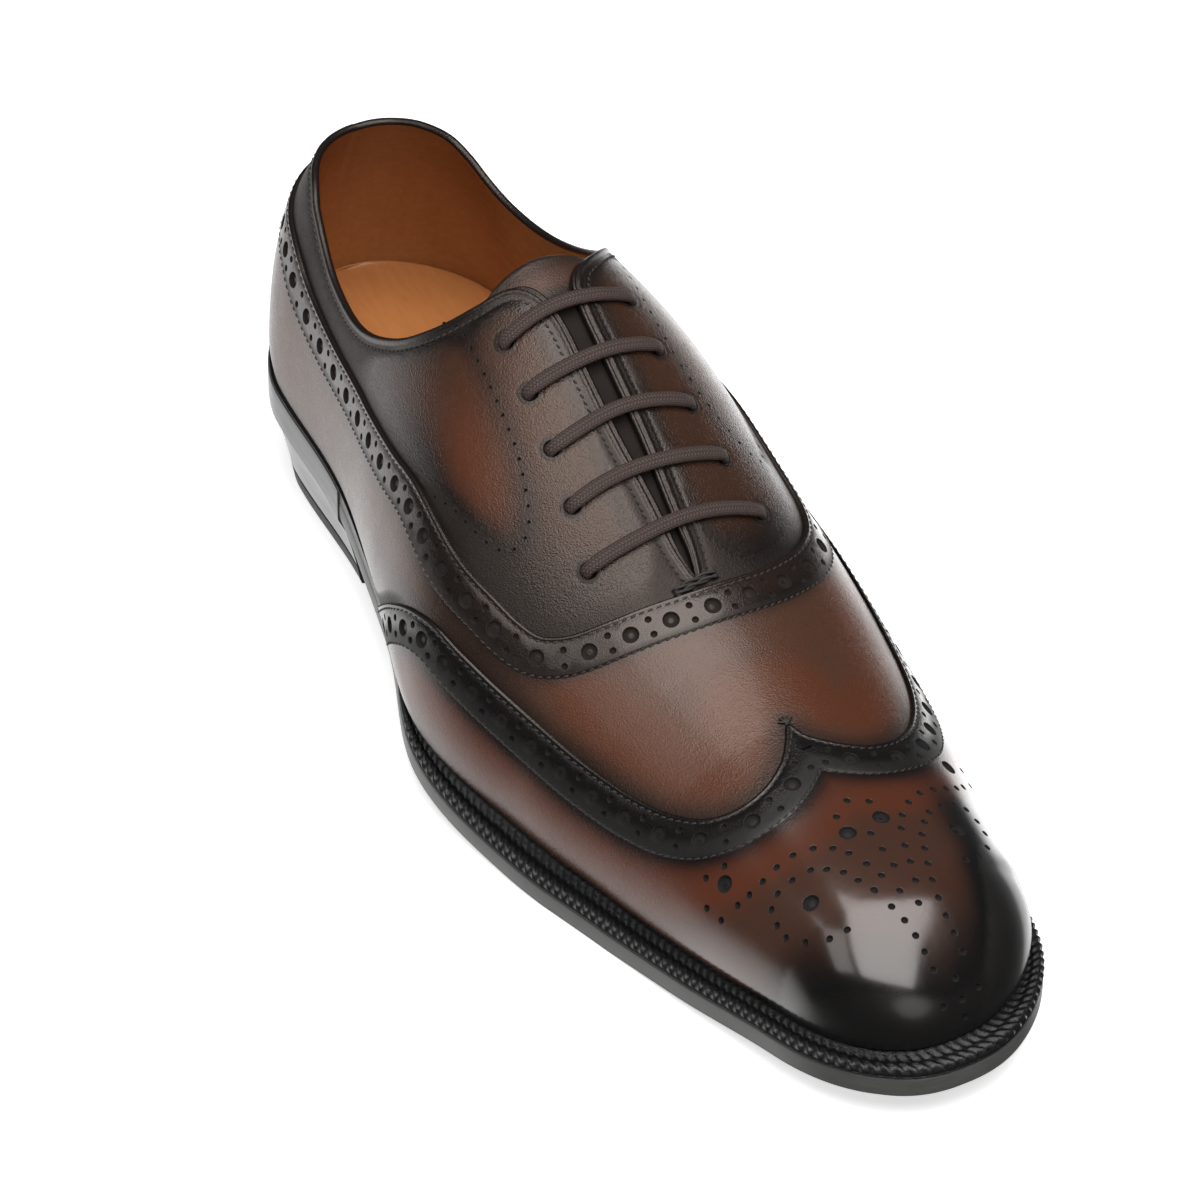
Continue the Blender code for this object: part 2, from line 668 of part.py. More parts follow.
def build_tongue(finish):
    """Curved strip under the facings, a little clear of the lining."""
    rows, columns = 26, 13
    share = np.interp(np.linspace(0, 1, rows), np.linspace(0, 1, len(TONGUE["share"])), TONGUE["share"])
    share = np.sort(share)
    half = np.interp(share, TONGUE["share"], TONGUE["half"])
    across = np.linspace(-1, 1, columns)
    u = np.repeat(share * LAST_LENGTH, columns)
    side = np.outer(half, across).ravel()
    v = side * half_width(u, side)
    plan = np.stack([u, v], axis=-1)
    triangles = []
    for i in range(rows - 1):
        for j in range(columns - 1):
            a = i * columns + j
            triangles += [(a, a + columns, a + columns + 1), (a, a + columns + 1, a + 1)]
    outside = -(WALL + TONGUE_CLEARANCE)
    nowhere = np.zeros(len(plan), dtype=bool)
    return shell("tongue", plan, nowhere, np.array(triangles), outside, outside - TONGUE_THICKNESS, finish)


def build_lace_bar(index, finish):
    """One straight bar of the lace, laid over the facings from eyelet to eyelet."""
    steps, sides = 16, 8
    u = np.full(steps + 1, EYELETS["share"][index] * LAST_LENGTH)
    side = np.linspace(EYELETS["outer"][index], EYELETS["inner"][index], steps + 1)
    v = side * half_width(u, side)
    up = normal(u, v)
    centre = last_point(u, v) + up * (GAP + LACE_HEIGHT / 2)
    run = np.gradient(centre, axis=0)
    run /= np.linalg.norm(run, axis=1, keepdims=True)
    sideways = np.cross(up, run)
    turn = np.arange(sides) * 2 * math.pi / sides
    wide = np.cos(turn)[None, :, None] * sideways[:, None] * LACE_WIDTH / 2
    high = np.sin(turn)[None, :, None] * up[:, None] * LACE_HEIGHT / 2
    points = (centre[:, None] + wide + high).reshape(-1, 3)
    faces = walls(steps + 1, sides)
    faces.append(tuple(range(sides))[::-1])
    faces.append(tuple(range(steps * sides, (steps + 1) * sides)))
    return make_object(f"lace_bar_{index + 1}", points, faces, finish)


def centre_on_floor(things):
    """Move everything so that the origin is under the middle of the shoe's box."""
    points = np.concatenate([[tuple(v.co) for v in thing.data.vertices] for thing in things])
    middle = (points.min(axis=0) + points.max(axis=0)) / 2
    for thing in things:
        thing.location = (-middle[0], -middle[1], 0.0)


def main():
    for thing in list(bpy.data.objects):
        bpy.data.objects.remove(thing, do_unlink=True)

    quarter_leather = make_finish("quarter_leather", (0.085, 0.050, 0.040), 0.38)
    vamp_leather = make_finish("vamp_leather", (0.075, 0.040, 0.030), 0.34)
    cap_leather = make_finish("cap_leather", (0.045, 0.022, 0.018), 0.24)
    tongue_leather = make_finish("tongue_leather", (0.060, 0.036, 0.030), 0.42)
    insole_leather = make_finish("insole_leather", (0.560, 0.230, 0.065), 0.50)
    welt_leather = make_finish("welt_leather", (0.012, 0.011, 0.011), 0.50)
    sole_leather = make_finish("sole_leather", (0.016, 0.015, 0.015), 0.35)
    heel_leather = make_finish("heel_leather", (0.018, 0.017, 0.017), 0.32)
    heel_rubber = make_finish("heel_rubber", (0.020, 0.020, 0.020), 0.60)
    lace_cotton = make_finish("lace_cotton", (0.060, 0.045, 0.045), 0.60)

    plan, on_feather, chain, pieces = build_pattern()
    things = [shell("upper", plan, on_feather, pieces["upper"], 0.0, -WALL, quarter_leather)]
    behind = nudge_line(plan, chain, -GAP / 2)
    things.append(shell("vamp", behind, on_feather, pieces["vamp"], GAP + VAMP_THICKNESS, GAP, vamp_leather))
    ahead = nudge_line(plan, chain, GAP / 2)
    things.append(
        shell("wing_cap", ahead, on_feather, pieces["wing_cap"], GAP + WING_THICKNESS, GAP, cap_leather)
    )
    things.append(build_outsole(sole_leather))
    things.append(build_welt(welt_leather))
    things.append(build_insole(insole_leather))
    things += build_heel(heel_leather, heel_rubber)
    things.append(build_tongue(tongue_leather))
    things += [build_lace_bar(k, lace_cotton) for k in range(len(EYELETS["share"]))]
    centre_on_floor(things)


main()
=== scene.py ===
"""Looks of the wingtip oxford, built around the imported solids.

All leather panels lie on one function of the last. A point there has two plan numbers: u runs from
the heel (0) to the toe (LAST_LENGTH), v from the spine (0) to the feather edge on either side,
negative on the outer side. Lengths are in metres.
"""

import math

import bpy
import numpy as np
from mathutils import Matrix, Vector
from mathutils.geometry import delaunay_2d_cdt


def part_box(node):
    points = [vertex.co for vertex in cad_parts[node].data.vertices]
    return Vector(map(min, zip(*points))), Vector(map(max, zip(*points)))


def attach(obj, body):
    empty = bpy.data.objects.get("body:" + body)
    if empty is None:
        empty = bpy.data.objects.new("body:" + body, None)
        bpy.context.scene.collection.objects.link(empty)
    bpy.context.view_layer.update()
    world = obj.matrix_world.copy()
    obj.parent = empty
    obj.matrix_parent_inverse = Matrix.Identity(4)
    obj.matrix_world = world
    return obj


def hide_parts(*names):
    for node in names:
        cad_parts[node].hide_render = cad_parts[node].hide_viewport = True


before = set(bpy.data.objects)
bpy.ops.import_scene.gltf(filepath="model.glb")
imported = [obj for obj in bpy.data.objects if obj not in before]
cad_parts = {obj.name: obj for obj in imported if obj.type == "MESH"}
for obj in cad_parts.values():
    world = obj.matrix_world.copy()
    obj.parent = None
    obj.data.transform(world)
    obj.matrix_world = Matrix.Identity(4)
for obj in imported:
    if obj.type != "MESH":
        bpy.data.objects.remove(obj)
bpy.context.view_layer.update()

# Last: the sizes of the solids
LAST_LENGTH = 0.2945
BALL_WIDTH = 0.0925
INSTEP_RISE = 0.079
HEEL_LIFT = 0.0245
TOE_SPRING = 0.0082
HEEL_FAN = 0.035
TOE_FAN = 0.027
HEEL_ROUNDNESS = 2.1
TOE_ROUNDNESS = 2.5

# Upper: thickness of its layers, and how high the faces of the overlays lie over the last
GAP = 0.0003
WALL = 0.0016
VAMP_TOP = GAP + 0.0008
WING_TOP = GAP + 0.0013
TONGUE_DEPTH = WALL + 0.0006
TONGUE_THICKNESS = 0.0014
EYELET_RADIUS = 0.0024
LACE_WIDTH = 0.0036
LACE_HEIGHT = 0.0019

# Stitched and punched bands: distances from their cut edge, and radii of the holes
FIRST_STITCHES = 0.00125
HOLE_LINE = 0.0051
HOLE_SPREAD = 0.0019
LAST_STITCHES = 0.0093
BAND_FADE = (0.0088, 0.0102)
LARGE_HOLE = 0.00205
SMALL_HOLE = 0.00088
RIM_STITCHES = 0.0026

# Bottom and heel
OUTSOLE_THICKNESS = 0.0055
WELT_THICKNESS = 0.0034
WELT_MARGIN = 0.0063
WELT_SEAT = 0.0022
INSOLE_RISE = 0.0025
HEEL_LENGTH = 0.0735
HEEL_TAPER = 0.0055
HEEL_BREAST_CURVE = 0.005
TOP_PIECE_THICKNESS = 0.005
RIB_PITCH = 0.0024
RIB_DEPTH = 0.00048
RIB_SLANT = 0.0030

# Steps between points on outlines and inside the leather panels, and of a walk over the last
EDGE_STEP = 0.0011
OVERLAY_STEP = 0.0015
QUARTER_STEP = 0.0016
LINING_STEP = 0.0026
WALK_STEP = 0.0007

# Points that are compared with a line at a time, and halvings of a distance that is searched for
BATCH = 4000
HALVINGS = 34

# Sections of the last from heel to toe, as shares of the sizes above
LAST_COLUMNS = (
    "share", "outer", "inner", "rise", "ridge", "lift", "spring",
    "wall", "outer_top", "inner_top", "outer_bulge", "inner_bulge",
)
LAST_ROWS = (
    (0.00, 0.281, 0.281, 0.937, 0.000, 1.000, 0.00, 0.50, 0.85, 0.85, 0.048, 0.048),
    (0.10, 0.362, 0.335, 0.975, 0.000, 0.975, 0.00, 0.50, 0.40, 0.40, -0.013, -0.013),
    (0.25, 0.411, 0.324, 1.038, 0.000, 0.898, 0.00, 0.50, 0.42, 0.60, 0.006, 0.027),
    (0.38, 0.503, 0.368, 1.000, 0.005, 0.637, 0.00, 0.50, 0.45, 0.76, 0.043, 0.092),
    (0.50, 0.589, 0.416, 0.861, 0.011, 0.270, 0.00, 0.50, 0.49, 0.72, 0.052, 0.101),
    (0.62, 0.508, 0.492, 0.658, 0.005, 0.036, 0.00, 0.50, 0.50, 0.64, 0.041, 0.073),
    (0.71, 0.435, 0.500, 0.532, 0.016, -0.008, 0.00, 0.50, 0.55, 0.59, 0.032, 0.045),
    (0.82, 0.359, 0.438, 0.430, 0.016, 0.000, 0.24, 0.55, 0.65, 0.66, 0.022, 0.027),
    (0.91, 0.292, 0.368, 0.342, 0.005, 0.000, 0.67, 0.60, 0.70, 0.70, 0.012, 0.012),
    (1.00, 0.222, 0.243, 0.228, 0.002, 0.000, 1.00, 0.65, 0.75, 0.75, 0.006, 0.006),
)
MARGIN_COLUMNS = ("share", "outer", "inner")
MARGIN_ROWS = (
    (0.00, 0.16, 0.16), (0.30, 0.08, 0.08), (0.42, 0.08, 0.08), (0.50, 0.55, 0.29),
    (0.60, 1.00, 0.71), (0.80, 0.87, 0.86), (0.92, 0.80, 0.76), (1.00, 1.00, 1.00),
)

# Seam lines: share of LAST_LENGTH and share of the half width, negative on the outer side
RIM_ROWS = (
    (0.0593, 0.000), (0.064, -0.200), (0.078, -0.370), (0.096, -0.485), (0.118, -0.570),
    (0.160, -0.635), (0.209, -0.650), (0.245, -0.625), (0.284, -0.555), (0.311, -0.480),
    (0.336, -0.370), (0.350, -0.260), (0.3555, -0.185), (0.364, -0.125), (0.378, -0.085),
    (0.400, -0.065), (0.440, -0.060), (0.490, -0.054), (0.540, -0.040), (0.584, -0.026),
    (0.6030, -0.003),
    (0.584, 0.020), (0.540, 0.028), (0.490, 0.037), (0.440, 0.041), (0.400, 0.048),
    (0.378, 0.065), (0.364, 0.105), (0.355, 0.155), (0.343, 0.230), (0.327, 0.320),
    (0.308, 0.410), (0.284, 0.495), (0.245, 0.575), (0.209, 0.610), (0.160, 0.605),
    (0.118, 0.550), (0.096, 0.475), (0.078, 0.370), (0.064, 0.200),
)
VAMP_ROWS = (
    (0.0450, 0.000), (0.050, -0.240), (0.064, -0.450), (0.096, -0.630), (0.140, -0.710),
    (0.203, -0.735), (0.280, -0.710), (0.356, -0.645), (0.412, -0.585), (0.449, -0.555),
    (0.487, -0.528), (0.525, -0.498), (0.553, -0.479), (0.570, -0.458), (0.579, -0.428),
    (0.587, -0.385), (0.597, -0.285), (0.604, -0.180), (0.609, -0.070), (0.610, 0.060),
    (0.606, 0.180), (0.597, 0.275), (0.583, 0.365), (0.561, 0.455), (0.531, 0.520),
    (0.487, 0.550), (0.449, 0.570), (0.412, 0.600), (0.356, 0.650), (0.280, 0.705),
    (0.203, 0.725), (0.140, 0.700), (0.096, 0.620), (0.064, 0.450), (0.050, 0.240),
)
WING_ROWS = (
    (0.374, -1.000), (0.399, -0.925), (0.436, -0.805), (0.468, -0.718), (0.497, -0.668),
    (0.532, -0.645), (0.578, -0.625), (0.622, -0.605), (0.667, -0.580), (0.709, -0.545),
    (0.748, -0.480), (0.769, -0.410), (0.780, -0.315), (0.779, -0.200), (0.765, -0.095),
    (0.748, -0.035), (0.735, 0.003),
    (0.750, 0.032), (0.765, 0.100), (0.774, 0.185), (0.772, 0.280),
    (0.758, 0.385), (0.736, 0.470), (0.704, 0.545), (0.671, 0.580), (0.630, 0.590),
    (0.583, 0.605), (0.540, 0.630), (0.500, 0.660), (0.468, 0.718), (0.436, 0.805),
    (0.402, 0.925), (0.380, 1.000),
)
WING_PEAK = 16
OUTER_PIN_ROWS = (
    (0.335, -0.370), (0.350, -0.335), (0.377, -0.323), (0.405, -0.313), (0.432, -0.304),
    (0.459, -0.300), (0.485, -0.313), (0.506, -0.338), (0.514, -0.372), (0.512, -0.408),
    (0.503, -0.437), (0.478, -0.472), (0.453, -0.505), (0.430, -0.550),
)
INNER_PIN_ROWS = (
    (0.335, 0.345), (0.355, 0.318), (0.378, 0.292), (0.402, 0.276), (0.441, 0.276), (0.475, 0.305),
    (0.503, 0.365), (0.510, 0.410), (0.500, 0.455), (0.475, 0.500), (0.450, 0.540),
)
EYELET_ROWS = (
    (0.3900, -0.228, 0.218), (0.4330, -0.217, 0.212), (0.4755, -0.216, 0.228),
    (0.5175, -0.228, 0.247), (0.5600, -0.268, 0.282),
)
TONGUE_ROWS = (
    (0.3420, 0.16), (0.3470, 0.25), (0.3600, 0.29), (0.4500, 0.31), (0.5600, 0.32), (0.6250, 0.26),
)

# Toe ornament in millimetres from its middle: along the toe and to either side. Each is also mirrored.
ORNAMENT_AT = (0.2496, 0.0016)
ORNAMENT_LARGE = ((0.3, 4.7), (9.5, 21.3), (-11.8, 35.0))
ORNAMENT_SMALL = (
    (-5.0, 4.6), (1.8, 9.8), (5.2, 7.4), (10.0, 5.4), (14.5, 4.1), (18.8, 2.4),
    (-1.2, 13.6), (-3.1, 18.3), (-3.7, 22.9), (-3.9, 27.4), (-4.6, 31.8),
    (3.0, 17.0), (1.7, 21.8), (1.3, 26.3), (2.6, 29.6), (6.2, 30.8), (10.0, 30.8),
    (14.8, 27.7), (17.7, 22.3), (18.6, 17.8),
    (5.5, 13.9), (8.7, 11.1), (12.6, 9.4), (16.7, 7.6), (19.8, 6.2), (22.0, 5.1), (24.3, 4.5),
    (26.7, 4.3), (29.5, 4.2), (35.8, 4.9),
    (-5.8, 35.6), (-8.2, 41.5), (-13.2, 42.5), (-17.0, 37.8), (-14.6, 32.5),
)
ORNAMENT_MIDDLE = (-7.6, 3.2, 8.5, 13.6, 21.2, 32.4, 36.3, 40.0)


def table(columns, rows):
    """Named columns as arrays."""
    return {name: np.array([row[k] for row in rows]) for k, name in enumerate(columns)}


LAST = table(LAST_COLUMNS, LAST_ROWS)
MARGIN = table(MARGIN_COLUMNS, MARGIN_ROWS)
EYELETS = table(("share", "outer", "inner"), EYELET_ROWS)
TONGUE = table(("share", "half"), TONGUE_ROWS)


def spline(knots, values, at):
    """Smooth curve through a table: cubic pieces whose slopes are weighted from their neighbours."""
    steps = np.diff(knots)
    chords = np.diff(values) / steps
    slopes_at = np.empty(len(knots))
    slopes_at[1:-1] = (chords[:-1] * steps[1:] + chords[1:] * steps[:-1]) / (steps[:-1] + steps[1:])
    slopes_at[0] = 1.5 * chords[0] - 0.5 * slopes_at[1]
    slopes_at[-1] = 1.5 * chords[-1] - 0.5 * slopes_at[-2]
    at = np.clip(at, knots[0], knots[-1])
    k = np.clip(np.searchsorted(knots, at) - 1, 0, len(steps) - 1)
    t = (at - knots[k]) / steps[k]
    start = (2 * t**3 - 3 * t**2 + 1) * values[k] + (t**3 - 2 * t**2 + t) * steps[k] * slopes_at[k]
    end = (3 * t**2 - 2 * t**3) * values[k + 1] + (t**3 - t**2) * steps[k] * slopes_at[k + 1]
    return start + end


def column(name, u):
    """A column of the last's table at u, as a smooth curve through its rows."""
    return spline(LAST["share"], LAST[name], u / LAST_LENGTH)


def by_side(name, u, v):
    """An outer or inner column of the last's table, chosen by the sign of v."""
    return np.where(v < 0, column("outer" + name, u), column("inner" + name, u))


def half_width(u, v):
    """Distance in plan from the spine to the feather edge, on the side of v."""
    return BALL_WIDTH * by_side("", u, v)


def outsole_bottom(x):
    """Underside of the outsole: heel lift, flat tread, toe spring."""
    return np.maximum(HEEL_LIFT * column("lift", x) + TOE_SPRING * column("spring", x), 0.0)


def outsole_top(x):
    """One thickness above the bottom of the outsole."""
    return outsole_bottom(x) + OUTSOLE_THICKNESS


def welt_top(x):
    """One gap and one thickness above the outsole."""
    return outsole_top(x) + GAP + WELT_THICKNESS


def feather_height(x):
    """Foot of the upper, a gap above the welt."""
    return welt_top(x) + GAP


def reach(u, v):
    """Share of the way from the spine (0) to the feather edge (1), rounded at heel and toe."""
    side = np.abs(v) / half_width(u, v)
    back = np.clip((HEEL_FAN - u) / HEEL_FAN, 0, None)
    front = np.clip((u - LAST_LENGTH + TOE_FAN) / TOE_FAN, 0, None)
    heel = (back**HEEL_ROUNDNESS + side**HEEL_ROUNDNESS) ** (1 / HEEL_ROUNDNESS)
    toe = (front**TOE_ROUNDNESS + side**TOE_ROUNDNESS) ** (1 / TOE_ROUNDNESS)
    return np.maximum(np.where(back > 0, heel, np.where(front > 0, toe, side)), 1e-7)


def fan_centre(u):
    """Point of the spine that a section turns about: its own u, held between the two fans."""
    return np.clip(u, HEEL_FAN, LAST_LENGTH - TOE_FAN)


def last_point(u, v):
    """Each section is a cubic curve from the feather edge up to the ridge, pushed out by a bulge,
    and turned about the fan centres at heel and toe."""
    share = reach(u, v)
    t = 1 - share
    centre = fan_centre(u)
    out_x, out_y = (u - centre) / share, v / share
    out = np.hypot(out_x, out_y) + 1e-9
    width = (1 - t) ** 3 + 3 * (1 - t) ** 2 * t + 3 * (1 - t) * t**2 * by_side("_top", u, v)
    height = 3 * (1 - t) ** 2 * t * column("wall", u) + 3 * (1 - t) * t**2 + t**3
    bulge = BALL_WIDTH * by_side("_bulge", u, v) * 6.75 * t * (1 - t) ** 2
    x = centre + out_x * (width + bulge / out)
    y = BALL_WIDTH * column("ridge", x) * (1 - width) + out_y * (width + bulge / out)
    return np.stack([x, y, feather_height(x) + INSTEP_RISE * column("rise", x) * height], axis=-1)


def unit(vectors):
    """Vectors divided by their length."""
    return vectors / (np.linalg.norm(vectors, axis=-1, keepdims=True) + 1e-15)


def slopes(u, v, step=0.0002):
    """How the point on the last moves with u and with v."""
    along = (last_point(u + step, v) - last_point(u - step, v)) / (2 * step)
    across = (last_point(u, v + step) - last_point(u, v - step)) / (2 * step)
    return along, across


def normal(u, v):
    """Direction out of the last: across the two slopes."""
    return unit(np.cross(*slopes(u, v)))


def plan_move(u, v, wanted):
    """Change of the plan numbers that makes a wanted move on the surface: least squares."""
    a, b = slopes(u, v)
    aa, ab, bb = (a * a).sum(-1), (a * b).sum(-1), (b * b).sum(-1)
    p, q = (a * wanted).sum(-1), (b * wanted).sum(-1)
    return np.stack([p * bb - q * ab, q * aa - p * ab], axis=-1) / (aa * bb - ab * ab)[..., None]


def walk(plan, toward, distance):
    """Plan points carried over the surface in small steps along a direction kept flat on it."""
    plan, toward = plan.copy(), toward.copy()
    count = max(1, int(math.ceil(abs(np.max(distance)) / WALK_STEP)))
    for _ in range(count):
        up = normal(*plan.T)
        toward = unit(toward - (toward * up).sum(-1, keepdims=True) * up)
        plan += plan_move(*plan.T, toward * np.reshape(distance, (-1, 1)) / count)
    return plan


def unroll(u, v):
    """The last laid flat: the same plan direction, with the distance from the spine as on the section."""
    share = reach(u, v)
    centre = fan_centre(u)
    away = np.hypot(u - centre, v) + 1e-12
    length = np.hypot(away, INSTEP_RISE * column("rise", u) * share)
    return np.stack([centre + (u - centre) / away * length, v / away * length], axis=-1)


def roll_up(sheet):
    """Plan numbers of points of the flat sheet, by halving the range of their distance."""
    centre = fan_centre(sheet[:, 0])
    x, y = sheet[:, 0] - centre, sheet[:, 1]
    length = np.hypot(x, y) + 1e-12
    low, high = np.zeros(len(sheet)), np.full(len(sheet), 0.2)
    for _ in range(HALVINGS):
        middle = (low + high) / 2
        u, v = centre + x / length * middle, y / length * middle
        long = np.hypot(middle, INSTEP_RISE * column("rise", u) * reach(u, v)) > length
        high, low = np.where(long, middle, high), np.where(long, low, middle)
    return np.stack([centre + x / length * low, y / length * low], axis=-1)


def arc_length(points):
    """Length along a line at each of its points, as a running sum of its steps."""
    return np.concatenate([[0], np.cumsum(np.linalg.norm(np.diff(points, axis=0), axis=1))])


def even(line, spacing, closed=False, least=2):
    """Plan line with near equal steps on the last's surface."""
    whole = np.concatenate([line, line[:1]]) if closed else line
    length = arc_length(last_point(*whole.T))
    count = max(least, int(round(length[-1] / spacing)))
    at = np.linspace(0, length[-1], count + 1)
    moved = np.stack([np.interp(at, length, whole[:, k]) for k in (0, 1)], axis=-1)
    return moved[:-1] if closed else moved


class Seam:
    """A smooth line on the last through rows of shares. Its side direction points into the leather.
    The curve's parameter grows by a power of each step, so that close rows make no loops."""

    def __init__(self, rows, closed, turn, spacing=EDGE_STEP):
        u = np.array([row[0] for row in rows]) * LAST_LENGTH
        side = np.array([row[1] for row in rows])
        if closed:
            u = np.concatenate([u[-3:], u, u[:4]])
            side = np.concatenate([side[-3:], side, side[:4]])
        rough = unroll(u, side * half_width(u, side))
        knots = np.concatenate([[0], np.cumsum(np.linalg.norm(np.diff(rough, axis=0), axis=1) ** 0.6)])
        start, end = (knots[3], knots[-4]) if closed else (knots[0], knots[-1])
        at = np.linspace(start, end, 2400)
        fine_u, fine_side = spline(knots, u, at), spline(knots, side, at)
        line = np.stack([fine_u, fine_side * half_width(fine_u, fine_side)], axis=-1)
        self.closed = closed
        self.plan = even(line[:-1] if closed else line, spacing, closed)
        self.turn = turn
        self.points = last_point(*self.plan.T)
        self.side = side_of(self.plan, closed) * turn

    def offset(self, distance):
        """The line moved into the leather. Points nearer the seam than the distance are dropped."""
        moved = walk(self.plan, self.side, distance)
        keep = self.away(last_point(*moved.T)) > 0.93 * distance - 0.00005
        return moved[keep]

    def whole(self, rows):
        """Rows of the line, with the first one again at the end of a closed line."""
        return np.concatenate([rows, rows[:1]]) if self.closed else rows

    def away(self, points):
        """Shortest distance from points to the line."""
        return self.nearest(points)[0]

    def nearest(self, points):
        """Shortest distance from points to the line, and the direction away from it: each point is held
        against the two pieces of the line beside its nearest knot. Done in batches to save memory."""
        line, sides = self.whole(self.points), self.whole(self.side)
        best, way = np.empty(len(points)), np.empty((len(points), 3))
        for start in range(0, len(points), BATCH):
            part = points[start:start + BATCH]
            square = (part**2).sum(1)[:, None] + (line**2).sum(1)[None] - 2 * part @ line.T
            k = square.argmin(axis=1)
            shortest, direction = np.full(len(part), 1e9), sides[k]
            for other in (np.clip(k - 1, 0, None), np.clip(k + 1, None, len(line) - 1)):
                run = line[other] - line[k]
                t = ((part - line[k]) * run).sum(1) / ((run**2).sum(1) + 1e-18)
                gap = part - line[k] - np.clip(t, 0, 1)[:, None] * run
                distance = np.linalg.norm(gap, axis=1)
                nearer = (distance < shortest) & (distance > 0.00003)
                direction = np.where(nearer[:, None], unit(gap), direction)
                shortest = np.minimum(shortest, distance)
            best[start:start + BATCH], way[start:start + BATCH] = shortest, direction
        return best, way

    def at(self, along, distance):
        """Plan points at lengths along the line and one distance into the leather."""
        plan, side = self.whole(self.plan), self.whole(self.side)
        length = arc_length(self.whole(self.points))
        along = along % length[-1] if self.closed else np.clip(along, 0, length[-1])
        here = np.stack([np.interp(along, length, plan[:, k]) for k in (0, 1)], axis=-1)
        way = np.stack([np.interp(along, length, side[:, k]) for k in (0, 1, 2)], axis=-1)
        return walk(here, unit(way), distance)

    def length(self):
        """Length of the whole line."""
        return arc_length(self.whole(self.points))[-1]


def side_of(plan, closed):
    """Direction on the surface to the left of a plan line."""
    points = last_point(*plan.T)
    if closed:
        run = np.roll(points, -1, axis=0) - np.roll(points, 1, axis=0)
    else:
        run = np.gradient(points, axis=0)
    return unit(np.cross(normal(*plan.T), run))


def rings(centres, radius, sides):
    """Plan points of small circles drawn on the surface about each centre."""
    along, across = slopes(*centres.T)
    first = unit(along)
    second = np.cross(unit(np.cross(along, across)), first)
    turn = (np.arange(sides) * 2 * math.pi / sides)[None, :, None]
    wanted = radius * (np.cos(turn) * first[:, None] + np.sin(turn) * second[:, None])
    u, v = (np.repeat(centres[:, k], sides).reshape(len(centres), sides) for k in (0, 1))
    return centres[:, None] + plan_move(u, v, wanted)


def inside(points, loop):
    """Which points lie inside a closed loop: an odd number of crossings to their right."""
    ax, ay = loop.T
    bx, by = np.roll(loop, -1, axis=0).T
    found = []
    for part in np.array_split(points, max(1, len(points) // 3000)):
        x, y = part[:, 0:1], part[:, 1:2]
        spans = (ay > y) != (by > y)
        crossing = (bx - ax) * (y - ay) / np.where(by == ay, 1e-12, by - ay) + ax
        found.append(np.sum(spans & (x < crossing), axis=1) % 2 == 1)
    return np.concatenate(found)


def feather_line(side, start, end, spacing):
    """Plan points of the feather edge on one side between two lengths."""
    turn = np.linspace(math.acos(1 - 2 * start / LAST_LENGTH), math.acos(1 - 2 * end / LAST_LENGTH), 3000)
    u = LAST_LENGTH * (1 - np.cos(turn)) / 2
    back = np.clip((HEEL_FAN - u) / HEEL_FAN, 0, 1)
    front = np.clip((u - LAST_LENGTH + TOE_FAN) / TOE_FAN, 0, 1)
    heel = (1 - back**HEEL_ROUNDNESS) ** (1 / HEEL_ROUNDNESS)
    toe = (1 - front**TOE_ROUNDNESS) ** (1 / TOE_ROUNDNESS)
    arc = np.stack([u, side * half_width(u, np.full_like(u, side)) * heel * toe], axis=-1)
    length = arc_length(arc)
    count = max(2, int(round(length[-1] / spacing)))
    at = np.linspace(0, length[-1], count + 1)
    return np.stack([np.interp(at, length, arc[:, k]) for k in (0, 1)], axis=-1)


